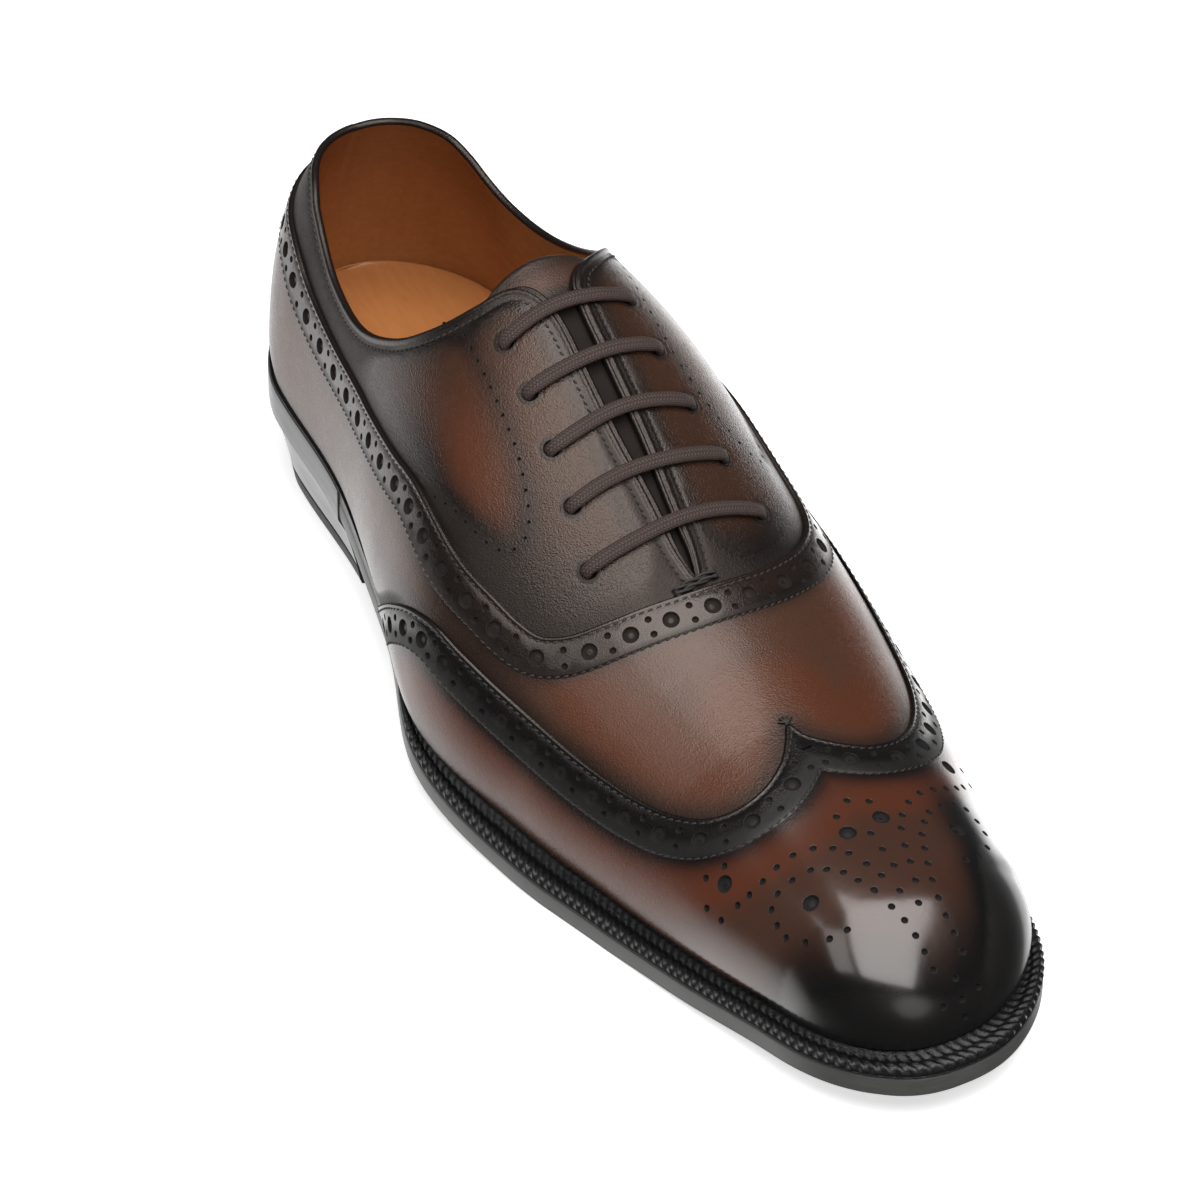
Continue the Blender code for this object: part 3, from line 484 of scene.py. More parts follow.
class Panel:
    """A sheet of leather on the last. Its outline, seam lines and punched rings are edges of one
    triangle net, filled by an even lattice. Depth is measured outwards from the last."""

    # Least distance of a lattice point from a fixed one, as a share of the spacing
    CLEARANCE = 0.62

    def __init__(self, loops, lines=(), holes=(), circles=(), *, spacing, keep):
        # Fixed points: the loops, lines, punched rings and circles, with the edges between their points
        groups = list(loops) + list(lines) + [r for h in holes for r in h] + list(circles)
        shut = [True] * len(loops) + [False] * len(lines)
        shut += [True] * (len(groups) - len(shut))
        edges, first, group_ids = [], 0, []
        for group, closed in zip(groups, shut):
            count = len(group)
            edges += [(first + k, first + (k + 1) % count) for k in range(count - (not closed))]
            group_ids.append(np.arange(first, first + count))
            first += count
        plan = np.concatenate(groups)
        sheet = unroll(*plan.T)
        # Lattice of even triangles, kept clear of the fixed points and out of the punched rings
        low, high = sheet.min(0), sheet.max(0)
        rows = np.arange(low[1], high[1], spacing * 0.866)  # height of an even triangle
        columns = np.arange(low[0], high[0], spacing)
        x, y = np.meshgrid(columns, rows)
        x = x + (np.arange(len(rows)) % 2)[:, None] * spacing / 2
        lattice = np.stack([x.ravel(), y.ravel()], axis=-1)
        lattice = lattice[keep(lattice)]
        clear = []
        for part in np.array_split(lattice, max(1, len(lattice) // 2000)):
            square = (part**2).sum(1)[:, None] + (sheet**2).sum(1)[None] - 2 * part @ sheet.T
            clear.append(square.min(axis=1) > (self.CLEARANCE * spacing) ** 2)
        lattice = lattice[np.concatenate(clear)]
        for hole_set in holes:
            centres = unroll(*hole_set.mean(axis=1).T)
            radius = np.linalg.norm(unroll(*hole_set[0].T) - centres[0], axis=1).max() * 1.1
            square = (lattice**2).sum(1)[:, None] + (centres**2).sum(1)[None] - 2 * lattice @ centres.T
            lattice = lattice[square.min(axis=1) > radius**2]
        sheet = np.concatenate([sheet, lattice])
        # Triangle net. A point that it adds where edges cross is kept.
        net = delaunay_2d_cdt([tuple(p) for p in sheet.tolist()], edges, [], 0, 1e-9)
        origin = np.array([source[0] if source else -1 for source in net[3]])
        extra = np.flatnonzero(origin < 0)
        origin[extra] = len(sheet) + np.arange(len(extra))
        if len(extra):
            sheet = np.concatenate([sheet, np.array([tuple(net[0][k]) for k in extra])])
        self.plan = np.concatenate([plan, roll_up(sheet[len(plan):])])
        faces = origin[np.array(net[2])]
        faces = faces[keep(sheet[faces].mean(axis=1))]
        # Triangles whose corners all lie on one punched ring are left out, which opens the hole
        ring = np.full(len(sheet), -1)
        self.rings, k = [], len(loops) + len(lines)
        for h in holes:
            self.rings.append(np.array(group_ids[k:k + len(h)]))
            ring[self.rings[-1]] = np.arange(k, k + len(h))[:, None]
            k += len(h)
        same = (ring[faces[:, 0]] >= 0) & (ring[faces[:, 0]] == ring[faces[:, 1]])
        same &= ring[faces[:, 0]] == ring[faces[:, 2]]
        self.faces = [faces[~same]]
        self.fields = {}
        self.tilt = np.zeros((len(self.plan), 3))

    def shape(self, depth, tuck=0.0):
        """Points at a depth outside the last. Near the feather edge the sheet turns in by the tuck."""
        u, v = self.plan.T
        self.up = normal(u, v)
        rise = INSTEP_RISE * column("rise", u) * (1 - reach(u, v)) * 1.5
        inward = tuck * np.exp(-((rise / 0.0026) ** 2))
        self.depth = depth
        self.points = last_point(u, v) + (depth - inward)[:, None] * self.up

    def lean(self, distance, way, at, rise):
        """Turn the shading normals by the slope of a relief that depends on one distance."""
        step = 0.00008
        slope = (np.interp(distance + step, at, rise) - np.interp(distance - step, at, rise)) / (2 * step)
        self.tilt -= slope[:, None] * way

    def add_rows(self, start, rows, outward, closed, fields):
        """Rows of points joined to a first row of the panel's own points, as a band of quads."""
        count = len(start)
        base = len(self.points)
        ids = np.concatenate([start[None], base + np.arange(len(rows) * count).reshape(len(rows), count)])
        a, b = ids[:-1], ids[1:]
        if closed:
            a2, b2 = np.roll(a, -1, axis=1), np.roll(b, -1, axis=1)
        else:
            a, a2, b, b2 = a[:, :-1], a[:, 1:], b[:, :-1], b[:, 1:]
        quads = np.stack([a, a2, b2, b], axis=-1).reshape(-1, 4)
        self.points = np.concatenate([self.points, np.asarray(rows).reshape(-1, 3)])
        p = self.points[quads]
        facing = np.cross(p[:, 2] - p[:, 0], p[:, 3] - p[:, 1])
        wanted = np.broadcast_to(outward, (len(rows), count, 3))[:, :a.shape[1]].reshape(-1, 3)
        if (facing * wanted).sum() < 0:
            quads = quads[:, ::-1]
        self.faces.append(quads)
        for name, value in self.fields.items():
            new = np.broadcast_to(fields.get(name, 0.0), (len(rows), count)).reshape(-1)
            self.fields[name] = np.concatenate([value, new])
        return ids[-1]

    def punch(self, which, profile, fields, floor=None):
        """Walls and floor of punched holes: the ring shrunk by a share and lowered at each level."""
        ids = self.rings[which]
        plan = self.plan[ids]
        middle = plan.mean(axis=1, keepdims=True)
        level = self.depth[ids].mean(axis=1, keepdims=True)
        previous = ids
        for k, (share, drop) in enumerate(profile):
            ring = middle + (plan - middle) * share
            u, v = ring[..., 0].ravel(), ring[..., 1].ravel()
            depth = np.broadcast_to(level - drop, ids.shape).ravel()
            points = last_point(u, v) + depth[:, None] * normal(u, v)
            base = len(self.points)
            new = base + np.arange(ids.size).reshape(ids.shape)
            self.points = np.concatenate([self.points, points])
            quads = np.stack([previous, np.roll(previous, -1, 1), np.roll(new, -1, 1), new], axis=-1)
            self.faces.append(quads.reshape(-1, 4))
            here = fields if k < len(profile) - 1 else floor or fields
            for name, value in self.fields.items():
                self.fields[name] = np.concatenate([value, np.full(ids.size, here.get(name, 0.0))])
            previous = new
        self.faces.append(previous)

    def build(self, name, finish, slot, nodes=(), inward=False):
        """The piece, with shading normals of the last tilted by the relief. Inward turns it round."""
        faces = [f[:, ::-1] if inward else f for f in self.faces]
        thing = make_piece(name, self.points, faces, finish, slot, nodes, self.fields)
        mesh = thing.data
        own = np.empty(len(mesh.vertices) * 3, np.float32)
        mesh.vertices.foreach_get("normal", own)
        own = own.reshape(-1, 3)
        own[:len(self.up)] = unit(self.up + self.tilt) * (-1 if inward else 1)
        mesh.normals_split_custom_set_from_vertices(own.tolist())
        return thing


def add_object(name, data):
    """A new object of the scene."""
    thing = bpy.data.objects.new(name, data)
    bpy.context.scene.collection.objects.link(thing)
    return thing


def make_piece(name, points, faces, finish, slot, nodes=(), fields=None, flat_map=None):
    """Mesh object from whole arrays, at the origin, riding on the shoe's one body."""
    mesh = bpy.data.meshes.new(name)
    points = np.asarray(points, float) + SHIFT
    sizes = np.concatenate([np.full(len(f), f.shape[1]) for f in faces])
    corners = np.concatenate([f.ravel() for f in faces]).astype(np.int32)
    mesh.vertices.add(len(points))
    mesh.vertices.foreach_set("co", points.ravel().astype(np.float32))
    mesh.loops.add(len(corners))
    mesh.loops.foreach_set("vertex_index", corners)
    mesh.polygons.add(len(sizes))
    mesh.polygons.foreach_set("loop_start", np.concatenate([[0], np.cumsum(sizes)[:-1]]).astype(np.int32))
    mesh.update(calc_edges=True)
    mesh.polygons.foreach_set("use_smooth", np.ones(len(sizes), bool))
    for field, values in (fields or {}).items():
        mesh.attributes.new(field, "FLOAT", "POINT").data.foreach_set("value", values.astype(np.float32))
    if flat_map is not None:
        layer = mesh.uv_layers.new(name="lay")
        layer.data.foreach_set("uv", flat_map[corners].ravel().astype(np.float32))
    mesh.materials.append(finish)
    mesh.update()
    thing = add_object(name, mesh)
    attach(thing, "root")
    if nodes:
        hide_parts(*nodes)
    return thing


def margin(loop):
    """How far the welt stands out past each point of the feather loop."""
    share = loop[:, 0] / LAST_LENGTH
    outer = spline(MARGIN["share"], MARGIN["outer"], share)
    inner = spline(MARGIN["share"], MARGIN["inner"], share)
    weight = np.clip(0.5 + loop[:, 1] / (0.2 * BALL_WIDTH), 0, 1)
    return WELT_MARGIN * (outer * (1 - weight) + inner * weight)


def feather_loop(count):
    """The feather edge as a closed plan loop of even steps, from the heel's back along the outer side."""
    outer, inner = (feather_line(side, 0, LAST_LENGTH, 0.0005) for side in (-1, 1))
    loop = np.concatenate([outer, inner[-2::-1]])
    length = arc_length(loop)
    toe, half = length[len(outer) - 1], count // 2 + 1
    at = np.concatenate([np.linspace(0, toe, half), np.linspace(toe, length[-1], half)[1:-1]])
    return np.stack([np.interp(at, length, loop[:, k]) for k in (0, 1)], axis=-1)


def moved_out(loop, distance, closed=True):
    """Plan loop moved outwards, to the right of its run."""
    run = np.roll(loop, -1, axis=0) - np.roll(loop, 1, axis=0) if closed else np.gradient(loop, axis=0)
    out = unit(np.stack([run[:, 1], -run[:, 0]], axis=-1))
    return loop + out * np.reshape(distance, (-1, 1))


def to_midline(loop, shares):
    """Plan loops between a loop and its own middle line, each point going half way to its partner."""
    partner = np.roll(loop[::-1], 1, axis=0)
    return [loop + (partner - loop) * share / 2 for share in shares]


def lift(loop, height):
    """Plan loop given a height."""
    return np.column_stack([loop, np.broadcast_to(height, len(loop))])


def bands(rows, closed=True):
    """Quads between rows of equal count; rows run outside-up for a loop that runs anticlockwise."""
    count = len(rows[0])
    ids = np.arange(len(rows) * count).reshape(len(rows), count)
    a, b = ids[:-1], ids[1:]
    if closed:
        return np.stack([a, np.roll(a, -1, 1), np.roll(b, -1, 1), b], axis=-1).reshape(-1, 4)
    return np.stack([a[:, :-1], a[:, 1:], b[:, 1:], b[:, :-1]], axis=-1).reshape(-1, 4)


edge_loop = feather_loop(1200)
edge_loop = moved_out(edge_loop, margin(edge_loop))
low, high = (np.array(corner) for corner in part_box("outsole"))
middle = (low + high) / 2 - (edge_loop.min(0)[[0, 1, 1]] + edge_loop.max(0)[[0, 1, 1]]) / 2
SHIFT = np.array([middle[0], middle[1], 0.0])


class Value:
    """An output of a shader node. Arithmetic on it adds Math nodes."""

    def __init__(self, shader, socket):
        self.shader, self.socket = shader, socket

    def maths(self, operation, *values):
        return self.shader.node("ShaderNodeMath", {"operation": operation}, dict(enumerate(values)))

    def __add__(self, other):
        return self.maths("ADD", self, other)

    def __sub__(self, other):
        return self.maths("SUBTRACT", self, other)

    def __rsub__(self, other):
        return self.maths("SUBTRACT", other, self)

    def __mul__(self, other):
        return self.maths("MULTIPLY", self, other)

    def __pow__(self, other):
        return self.maths("POWER", self, other)

    __radd__ = __add__
    __rmul__ = __mul__

    def sin(self):
        return self.maths("SINE", self)

    def fract(self):
        return self.maths("FRACT", self)

    def abs(self):
        return self.maths("ABSOLUTE", self)

    def clamp(self, low=0.0, high=1.0):
        return self.maths("MINIMUM", self.maths("MAXIMUM", self, low), high)

    def ramp(self, start, end):
        """0 below start, 1 above end, smooth between."""
        settings = {"interpolation_type": "SMOOTHSTEP"}
        return self.shader.node("ShaderNodeMapRange", settings, {0: self, 1: start, 2: end, 3: 0.0, 4: 1.0})


class Nodes:
    """A node tree. Each node is made from its type, its settings and then its sockets."""

    def __init__(self, owner, main):
        owner.use_nodes = True
        self.tree = owner.node_tree
        self.main = self.tree.nodes[main]

    def set(self, **values):
        for name, value in values.items():
            self.feed(self.main.inputs[name.replace("_", " ")], value)

    def feed(self, socket, value):
        if isinstance(value, Value):
            self.tree.links.new(value.socket, socket)
        else:
            colour = isinstance(value, tuple) and socket.type == "RGBA"
            socket.default_value = (*value, 1.0) if colour else value

    def node(self, kind, settings, sockets, out=0):
        made = self.tree.nodes.new(kind)
        for name, value in settings.items():
            setattr(made, name, value)
        for key, value in sockets.items():
            self.feed(made.inputs[key], value)
        return Value(self, made.outputs[out])


class Shader(Nodes):
    """A material and the nodes that feed its Principled shader."""

    def __init__(self, name, **constants):
        self.material = bpy.data.materials.new(name)
        super().__init__(self.material, "Principled BSDF")
        self.set(**constants)
        self.here = self.node("ShaderNodeTexCoord", {}, {}, "Object")

    def field(self, name):
        return self.node("ShaderNodeAttribute", {"attribute_name": name}, {}, "Fac")

    def noise(self, scale, detail=2.0, rough=0.5, place=None):
        sockets = {"Vector": place or self.here, "Scale": scale, "Detail": detail, "Roughness": rough}
        return self.node("ShaderNodeTexNoise", {}, sockets, "Fac")

    def cells(self, scale, feature="F1", place=None):
        sockets = {"Vector": place or self.here, "Scale": scale}
        return self.node("ShaderNodeTexVoronoi", {"feature": feature}, sockets, "Distance")

    def stretched(self, x, y, z):
        return self.node("ShaderNodeMapping", {}, {"Vector": self.here, "Scale": (x, y, z)})

    def mix(self, factor, first, second):
        return self.node("ShaderNodeMix", {"data_type": "RGBA"}, {0: factor, 6: first, 7: second}, 2)

    def relief(self, height, distance, strength=1.0):
        sockets = {"Height": height, "Distance": distance, "Strength": strength}
        self.set(Normal=self.node("ShaderNodeBump", {}, sockets))


def calf_leather(name, mid, ruddy, dark, grain=1.0, roughness=0.30, tint=(1.0, 0.84, 0.75)):
    """Hand-stained calf: mid and ruddy stain in clouds, darkened by burnished patina and by painted shade,
    fine pebbled grain.
    Polish lowers the roughness and adds a wax coat; where the darkening passes 1.05, as on a cut edge, it is
    matt."""
    s = Shader(name, Specular_IOR_Level=0.44, Specular_Tint=tint, Coat_Roughness=0.12, Coat_IOR=1.42)
    burnish_and_shade, stain, polish = s.field("burnish_and_shade"), s.field("ruddy"), s.field("polish")
    cloud = s.noise(38.0, 3.0, 0.55)
    small = s.noise(170.0, 3.0, 0.6)
    streak = s.noise(1.0, 3.0, 0.6, s.stretched(60.0, 220.0, 220.0))
    darker = burnish_and_shade + (cloud - 0.5) * 0.3 + (small - 0.5) * 0.16 + (streak - 0.5) * 0.12
    redder = stain + (cloud - 0.5) * 0.7 + (small - 0.5) * 0.3
    s.set(Base_Color=s.mix(darker.ramp(0.0, 1.05), s.mix(redder.ramp(0.1, 0.9), mid, ruddy), dark))
    pores = s.noise(3300.0, 2.0, 0.5)
    pebble = s.cells(2300.0, "SMOOTH_F1")
    cut = (burnish_and_shade - 1.05).clamp() * 1.2
    rough = roughness + (pores - 0.5) * 0.10 + (small - 0.5) * 0.12 - polish * (roughness - 0.2) + cut
    s.set(Roughness=rough.clamp(0.12, 0.9), Coat_Weight=(polish * 0.85 - 0.08 - cut).clamp())
    height = (pebble * 0.55 + pores * 0.6) * (1.0 - polish * 0.93) + s.noise(420.0, 2.0) * 0.25
    s.relief(height, 0.00019 * grain, 0.75)
    return s.material


def lining_leather(name, light, deep):
    """Tan lining: soft clouds of darker tan, fine creases and pores."""
    s = Shader(name, Specular_IOR_Level=0.4)
    cloud = s.noise(28.0, 4.0, 0.6)
    fibre = s.noise(1.0, 3.0, 0.6, s.stretched(160.0, 700.0, 700.0))
    s.set(Base_Color=s.mix((cloud * 0.8 + fibre * 0.45 - 0.15).clamp(), light, deep))
    s.set(Roughness=(0.42 + (fibre - 0.5) * 0.25).clamp())
    s.relief(s.noise(1500.0, 2.0) * 0.6 + fibre * 0.5, 0.00008, 0.5)
    return s.material


def thread(name, colour):
    """Waxed thread: dark, with lighter flecks that stand out a little."""
    s = Shader(name, Specular_IOR_Level=0.35)
    fleck = s.noise(2600.0, 2.0)
    s.set(Base_Color=s.mix(fleck, colour, tuple(c * 2.0 for c in colour)), Roughness=0.55)
    s.relief(fleck, 0.00008, 0.7)
    return s.material


def braid(name, dark, light):
    """Waxed cotton braid on the cord's own map: strands slant one way, then the other, in columns."""
    s = Shader(name, Specular_IOR_Level=0.3)
    place = s.node("ShaderNodeUVMap", {"uv_map": "lay"}, {})
    u = s.node("ShaderNodeSeparateXYZ", {}, {0: place}, 0)
    v = s.node("ShaderNodeSeparateXYZ", {}, {0: place}, 1)
    column_at = v * 14.0
    within = column_at.fract()
    slant = (v * 7.0).fract().ramp(0.499, 0.501) * 2.0 - 1.0
    strand = ((u * 1.15 + within * slant * 0.5) * (2 * math.pi)).sin() * 0.5 + 0.5
    rib = 1.0 - ((within - 0.5) * 2.0).abs() ** 2.0
    height = strand * 0.6 + rib * 0.4
    fuzz = s.noise(3000.0, 2.0)
    s.set(Base_Color=s.mix((height * 0.8 + (fuzz - 0.5) * 0.5).clamp(), dark, light))
    s.set(Roughness=(0.62 + (fuzz - 0.5) * 0.3).clamp())
    s.relief(height + fuzz * 0.3, 0.00022, 0.9)
    return s.material


def edge_dressing(name, colour, roughness, wear, coat):
    """Inked and waxed edge of sole and heel: near black, faint strokes of the burnishing iron."""
    s = Shader(name, Specular_IOR_Level=0.5, Coat_Roughness=0.25)
    stroke = s.noise(1.0, 3.0, 0.6, s.stretched(90.0, 90.0, 1400.0))
    cloud = s.noise(60.0, 3.0)
    lighter = tuple(c * 2.2 + 0.006 for c in colour)
    s.set(Base_Color=s.mix((stroke * 0.5 + cloud * 0.5 - 0.2).clamp(), colour, lighter))
    rough = roughness + (stroke - 0.5) * 0.22 + (cloud - 0.5) * 0.12
    s.set(Roughness=rough.clamp(0.15, 0.9), Coat_Weight=coat)
    s.relief(stroke * wear + s.noise(900.0, 2.0) * 0.5, 0.00008, 0.5)
    return s.material


def wheeled_leather(name, colour):
    """Welt top: black, rough from the wheel and the thread."""
    s = Shader(name, Specular_IOR_Level=0.5)
    crumb = s.noise(1700.0, 3.0, 0.7)
    s.set(Base_Color=s.mix(crumb, colour, tuple(c * 2.0 for c in colour)))
    s.set(Roughness=(0.34 + (crumb - 0.5) * 0.4).clamp())
    s.relief(crumb, 0.00025, 0.8)
    return s.material


def heel_rubber(name):
    """Heel top piece: matt black rubber with a fine pimple grain."""
    s = Shader(name, Specular_IOR_Level=0.35)
    dust = s.noise(500.0, 3.0)
    s.set(Base_Color=s.mix(dust, (0.012, 0.012, 0.012), (0.030, 0.030, 0.030)))
    s.set(Roughness=(0.6 + (dust - 0.5) * 0.3).clamp())
    s.relief(s.cells(900.0), 0.00012, 0.5)
    return s.material


# Stains of the calf: the brown of each panel, the ruddy patina and the near black of burnished edges, which
# is also laid on as painted shade in the lacing gap, on the inner side of the toe, round the eyelets and in
# the holes
QUARTER_BROWN = (0.038, 0.0175, 0.0105)
VAMP_BROWN = (0.056, 0.0265, 0.0170)
CAP_BROWN = (0.044, 0.0205, 0.0135)
TONGUE_BROWN = (0.060, 0.030, 0.021)
RUDDY, CAP_RUDDY = (0.074, 0.0235, 0.0110), (0.074, 0.021, 0.010)
DARK, CAP_DARK = (0.0075, 0.0055, 0.005), (0.0035, 0.0032, 0.0032)
quarter_calf = calf_leather("quarter_leather", QUARTER_BROWN, RUDDY, DARK, 1.35, 0.25)
vamp_calf = calf_leather("vamp_leather", VAMP_BROWN, RUDDY, DARK, 0.9, 0.31)
cap_calf = calf_leather("cap_leather", CAP_BROWN, CAP_RUDDY, CAP_DARK, 0.6, 0.30, (1.0, 0.94, 0.90))
tongue_calf = calf_leather("tongue_leather", TONGUE_BROWN, RUDDY, DARK, 1.2, 0.42)
lining_tan = lining_leather("lining_leather", (0.42, 0.155, 0.045), (0.20, 0.060, 0.018))
insole_tan = lining_leather("insole_leather", (0.50, 0.20, 0.060), (0.27, 0.090, 0.026))
dark_thread = thread("upper_thread", (0.018, 0.015, 0.013))
lace_braid = braid("lace_cotton", (0.011, 0.0065, 0.0055), (0.088, 0.058, 0.050))
welt_black = wheeled_leather("welt_leather", (0.0035, 0.0035, 0.0035))
sole_black = edge_dressing("sole_leather", (0.036, 0.036, 0.034), 0.45, wear=0.3, coat=0.1)
heel_black = edge_dressing("heel_leather", (0.024, 0.023, 0.022), 0.34, wear=0.4, coat=0.2)
rubber_black = heel_rubber("heel_rubber")


def hump(distance, width):
    """A bell: 1 at no distance, falling as the exponent of minus its square over the width's."""
    return np.exp(-((distance / width) ** 2))


def smooth_step(x, start, end):
    """0 before start, 1 after end, a cubic between."""
    t = np.clip((x - start) / (end - start), 0, 1)
    return t * t * (3 - 2 * t)


# Seams. The rim's leather is outside its loop; the vamp's outside the galosh line; the wing's in front.
# Each side is turned towards a place in the leather: a share of the length, and a distance across.
rim = Seam(RIM_ROWS, True, -1)
galosh = Seam(VAMP_ROWS, True, -1)
wing = Seam(WING_ROWS, False, -1)
for seam, (share, across) in ((rim, (0.2, -0.032)), (galosh, (0.3, -0.036)), (wing, (0.85, 0.0))):
    goal = last_point(np.array([share * LAST_LENGTH]), np.array([across]))
    k = np.linalg.norm(seam.points - goal, axis=1).argmin()
    if (seam.side[k] * (goal[0] - seam.points[k])).sum() < 0:
        seam.side = -seam.side

# Relief across a stitched band in millimetres: distance from its edge, and height against the panel's face
BAND_ROWS = (
    (0, -0.42), (0.15, -0.12), (0.35, -0.02), (0.6, 0), (0.95, -0.02), (1.25, -0.16), (1.55, -0.02),
    (8.7, 0), (9.0, -0.04), (9.3, -0.22), (9.6, -0.26), (9.9, -0.26), (30, -0.26),
)
BAND_AT, BAND_RISE = np.array(BAND_ROWS).T * 0.001
EDGE_LINES = (0.00015, 0.00035, 0.0006, 0.00095, 0.00125, 0.00155, 0.0088, 0.0091, 0.0093, 0.0096, 0.0099)
outer_feather, inner_feather = (feather_line(side, 0, LAST_LENGTH, EDGE_STEP) for side in (-1, 1))
OUTLINE = np.concatenate([outer_feather, inner_feather[-2:0:-1]])
OUTLINE_SHEET = unroll(*OUTLINE.T)


def within_last(line, share=0.985):
    """The points of a plan line that keep off the feather edge."""
    return line[reach(*line.T) < share]


def band_holes(seam, first, step, count):
    """Large holes along the middle of a band at even steps, with a pair of small ones half way between."""
    large = seam.at(first + step * np.arange(count), HOLE_LINE)
    between = first + step * (np.arange(count + 1) - 0.5)
    small = np.concatenate([seam.at(between, HOLE_LINE + way * HOLE_SPREAD) for way in (-1, 1)])
    return large, small


# Punched holes: share of the ring and drop at each level. The floors are a little domed.
PUNCH_LARGE = ((0.95, 0.00008), (0.90, 0.00030), (0.88, 0.00085), (0.5, 0.00078), (0.2, 0.00074))
PUNCH_SMALL = ((0.90, 0.00010), (0.84, 0.0007), (0.4, 0.0008))
PUNCH_EYELET = ((0.93, 0.00012), (0.88, 0.0005), (0.86, 0.0016), (0.5, 0.0016))
PUNCH_PIN = ((0.85, 0.0001), (0.7, 0.0007))
# Hole walls are inked cut edges; the floors of the holes and eyelets are painted near black as painted shade
# inside the holes.
HOLE_WALL, HOLE_FLOOR_SHADE, EYELET_FLOOR_SHADE = {"burnish_and_shade": 1.6}, {"burnish_and_shade": 1.15}, {"burnish_and_shade": 1.4}
CUT_LEATHER = {"burnish_and_shade": 1.3}


def cut_edge(panel, ids, seam):
    """Cut edge of an overlay: two rows from the panel's edge points, each moved down by the seam's
    normals and a little aside, taken in the seam's own order."""
    base, up = panel.points[ids], normal(*seam.plan.T)
    rows = [base - seam.side * 0.00003 - up * 0.0003, base + seam.side * 0.0001 - up * 0.00075]
    panel.add_rows(ids, rows, -seam.side, seam.closed, CUT_LEATHER)


def punch_band(panel):
    """Punch the large and the small holes of a band."""
    panel.punch(0, PUNCH_LARGE, HOLE_WALL, HOLE_FLOOR_SHADE)
    panel.punch(1, PUNCH_SMALL, HOLE_WALL)


# Wing cap. Its large holes start at a distance from the peak on either side and go on at a step.
WING_HOLES = 15
OUTER_HOLES, INNER_HOLES = (-0.0158, -0.0097), (0.0152, 0.0092)
tip_guess = last_point(np.array([0.735 * LAST_LENGTH]), np.array([0.0001]))
peak = np.linalg.norm(wing.points - tip_guess, axis=1).argmin()
peak_at = arc_length(wing.points)[peak]
large_a, small_a = band_holes(wing, peak_at + OUTER_HOLES[0], OUTER_HOLES[1], WING_HOLES)
large_b, small_b = band_holes(wing, peak_at + INNER_HOLES[0], INNER_HOLES[1], WING_HOLES)
top_hole = np.array([[WING_ROWS[WING_PEAK][0] * LAST_LENGTH + 0.0068, 0.0004]])


def ornament_point(along, side):
    """Plan point of the toe ornament: rows lean a little, and the side is measured round the section."""
    u = ORNAMENT_AT[0] + (along - 0.11 * side) * 0.001
    wanted = ORNAMENT_AT[1] + (side + 0.03 * along) * 0.001
    half = 200
    share = np.linspace(-1, 1, 2 * half + 1)
    uu = np.repeat(u[:, None], len(share), 1)
    vv = share * half_width(uu, np.broadcast_to(share, uu.shape))
    points = last_point(uu, vv) + WING_TOP * normal(uu, vv)
    steps = np.linalg.norm(np.diff(points, axis=1), axis=2)
    length = np.concatenate([np.zeros((len(u), 1)), np.cumsum(steps, axis=1)], axis=1)
    length -= length[:, half:half + 1]
    return np.array([(a, np.interp(w, l, row)) for a, w, l, row in zip(u, wanted, length, vv)])


small_table, large_table = np.array(ORNAMENT_SMALL), np.array(ORNAMENT_LARGE)
middle_table = np.stack([np.array(ORNAMENT_MIDDLE), np.zeros(len(ORNAMENT_MIDDLE))], axis=-1)
small_table = np.concatenate([small_table, small_table * (1, -1), middle_table])
large_table = np.concatenate([large_table, large_table * (1, -1)])
large = within_last(np.concatenate([large_a, large_b, top_hole, ornament_point(*large_table.T)]), 0.97)
small = within_last(np.concatenate([small_a, small_b, ornament_point(*small_table.T)]), 0.97)
apart = np.linalg.norm(last_point(*small.T)[:, None] - last_point(*large.T)[None], axis=-1).min(axis=1)
small = small[apart > 0.0031]
large_rings, small_rings = rings(large, LARGE_HOLE, 20), rings(small, SMALL_HOLE, 12)

wing_front = np.concatenate([
    feather_line(-1, WING_ROWS[0][0] * LAST_LENGTH, LAST_LENGTH, EDGE_STEP),
    feather_line(1, WING_ROWS[-1][0] * LAST_LENGTH, LAST_LENGTH, EDGE_STEP)[-2::-1],
])
wing_outline = np.concatenate([wing_front[:-1], wing.plan[::-1][:-1]])
wing_sheet = unroll(*wing_outline.T)
wing_panel = Panel(
    [wing_outline], [within_last(wing.offset(d)) for d in EDGE_LINES], [large_rings, small_rings],
    spacing=OVERLAY_STEP, keep=lambda p: inside(p, wing_sheet),
)

# The outline holds the seam from its inner end back to its outer end, against the seam's own order.
# So the cut edge takes its directions from the other wing, and goes straight down only near the peak.
edge_ids = len(wing_front) - 1 + np.arange(len(wing.plan))
edge_ids[-1] = 0
u, v = wing_panel.plan.T
from_seam = wing.away(last_point(u, v))
share, side = u / LAST_LENGTH, v / half_width(u, v)
wing_panel.shape(WING_TOP + np.interp(from_seam, BAND_AT, BAND_RISE), 0.0009)
wing_panel.lean(*wing.nearest(last_point(u, v)), BAND_AT, BAND_RISE)
in_band = 1 - smooth_step(from_seam, *BAND_FADE)
tip = smooth_step(share + 0.05 * np.abs(side), 0.90, 0.985)
lower = smooth_step(reach(u, v), 0.92, 1.0)
burnish_and_shade = in_band * 0.85 + hump(from_seam - 0.0095, 0.0035) * 0.7 + tip * 1.1 + lower * 0.9 + 0.10
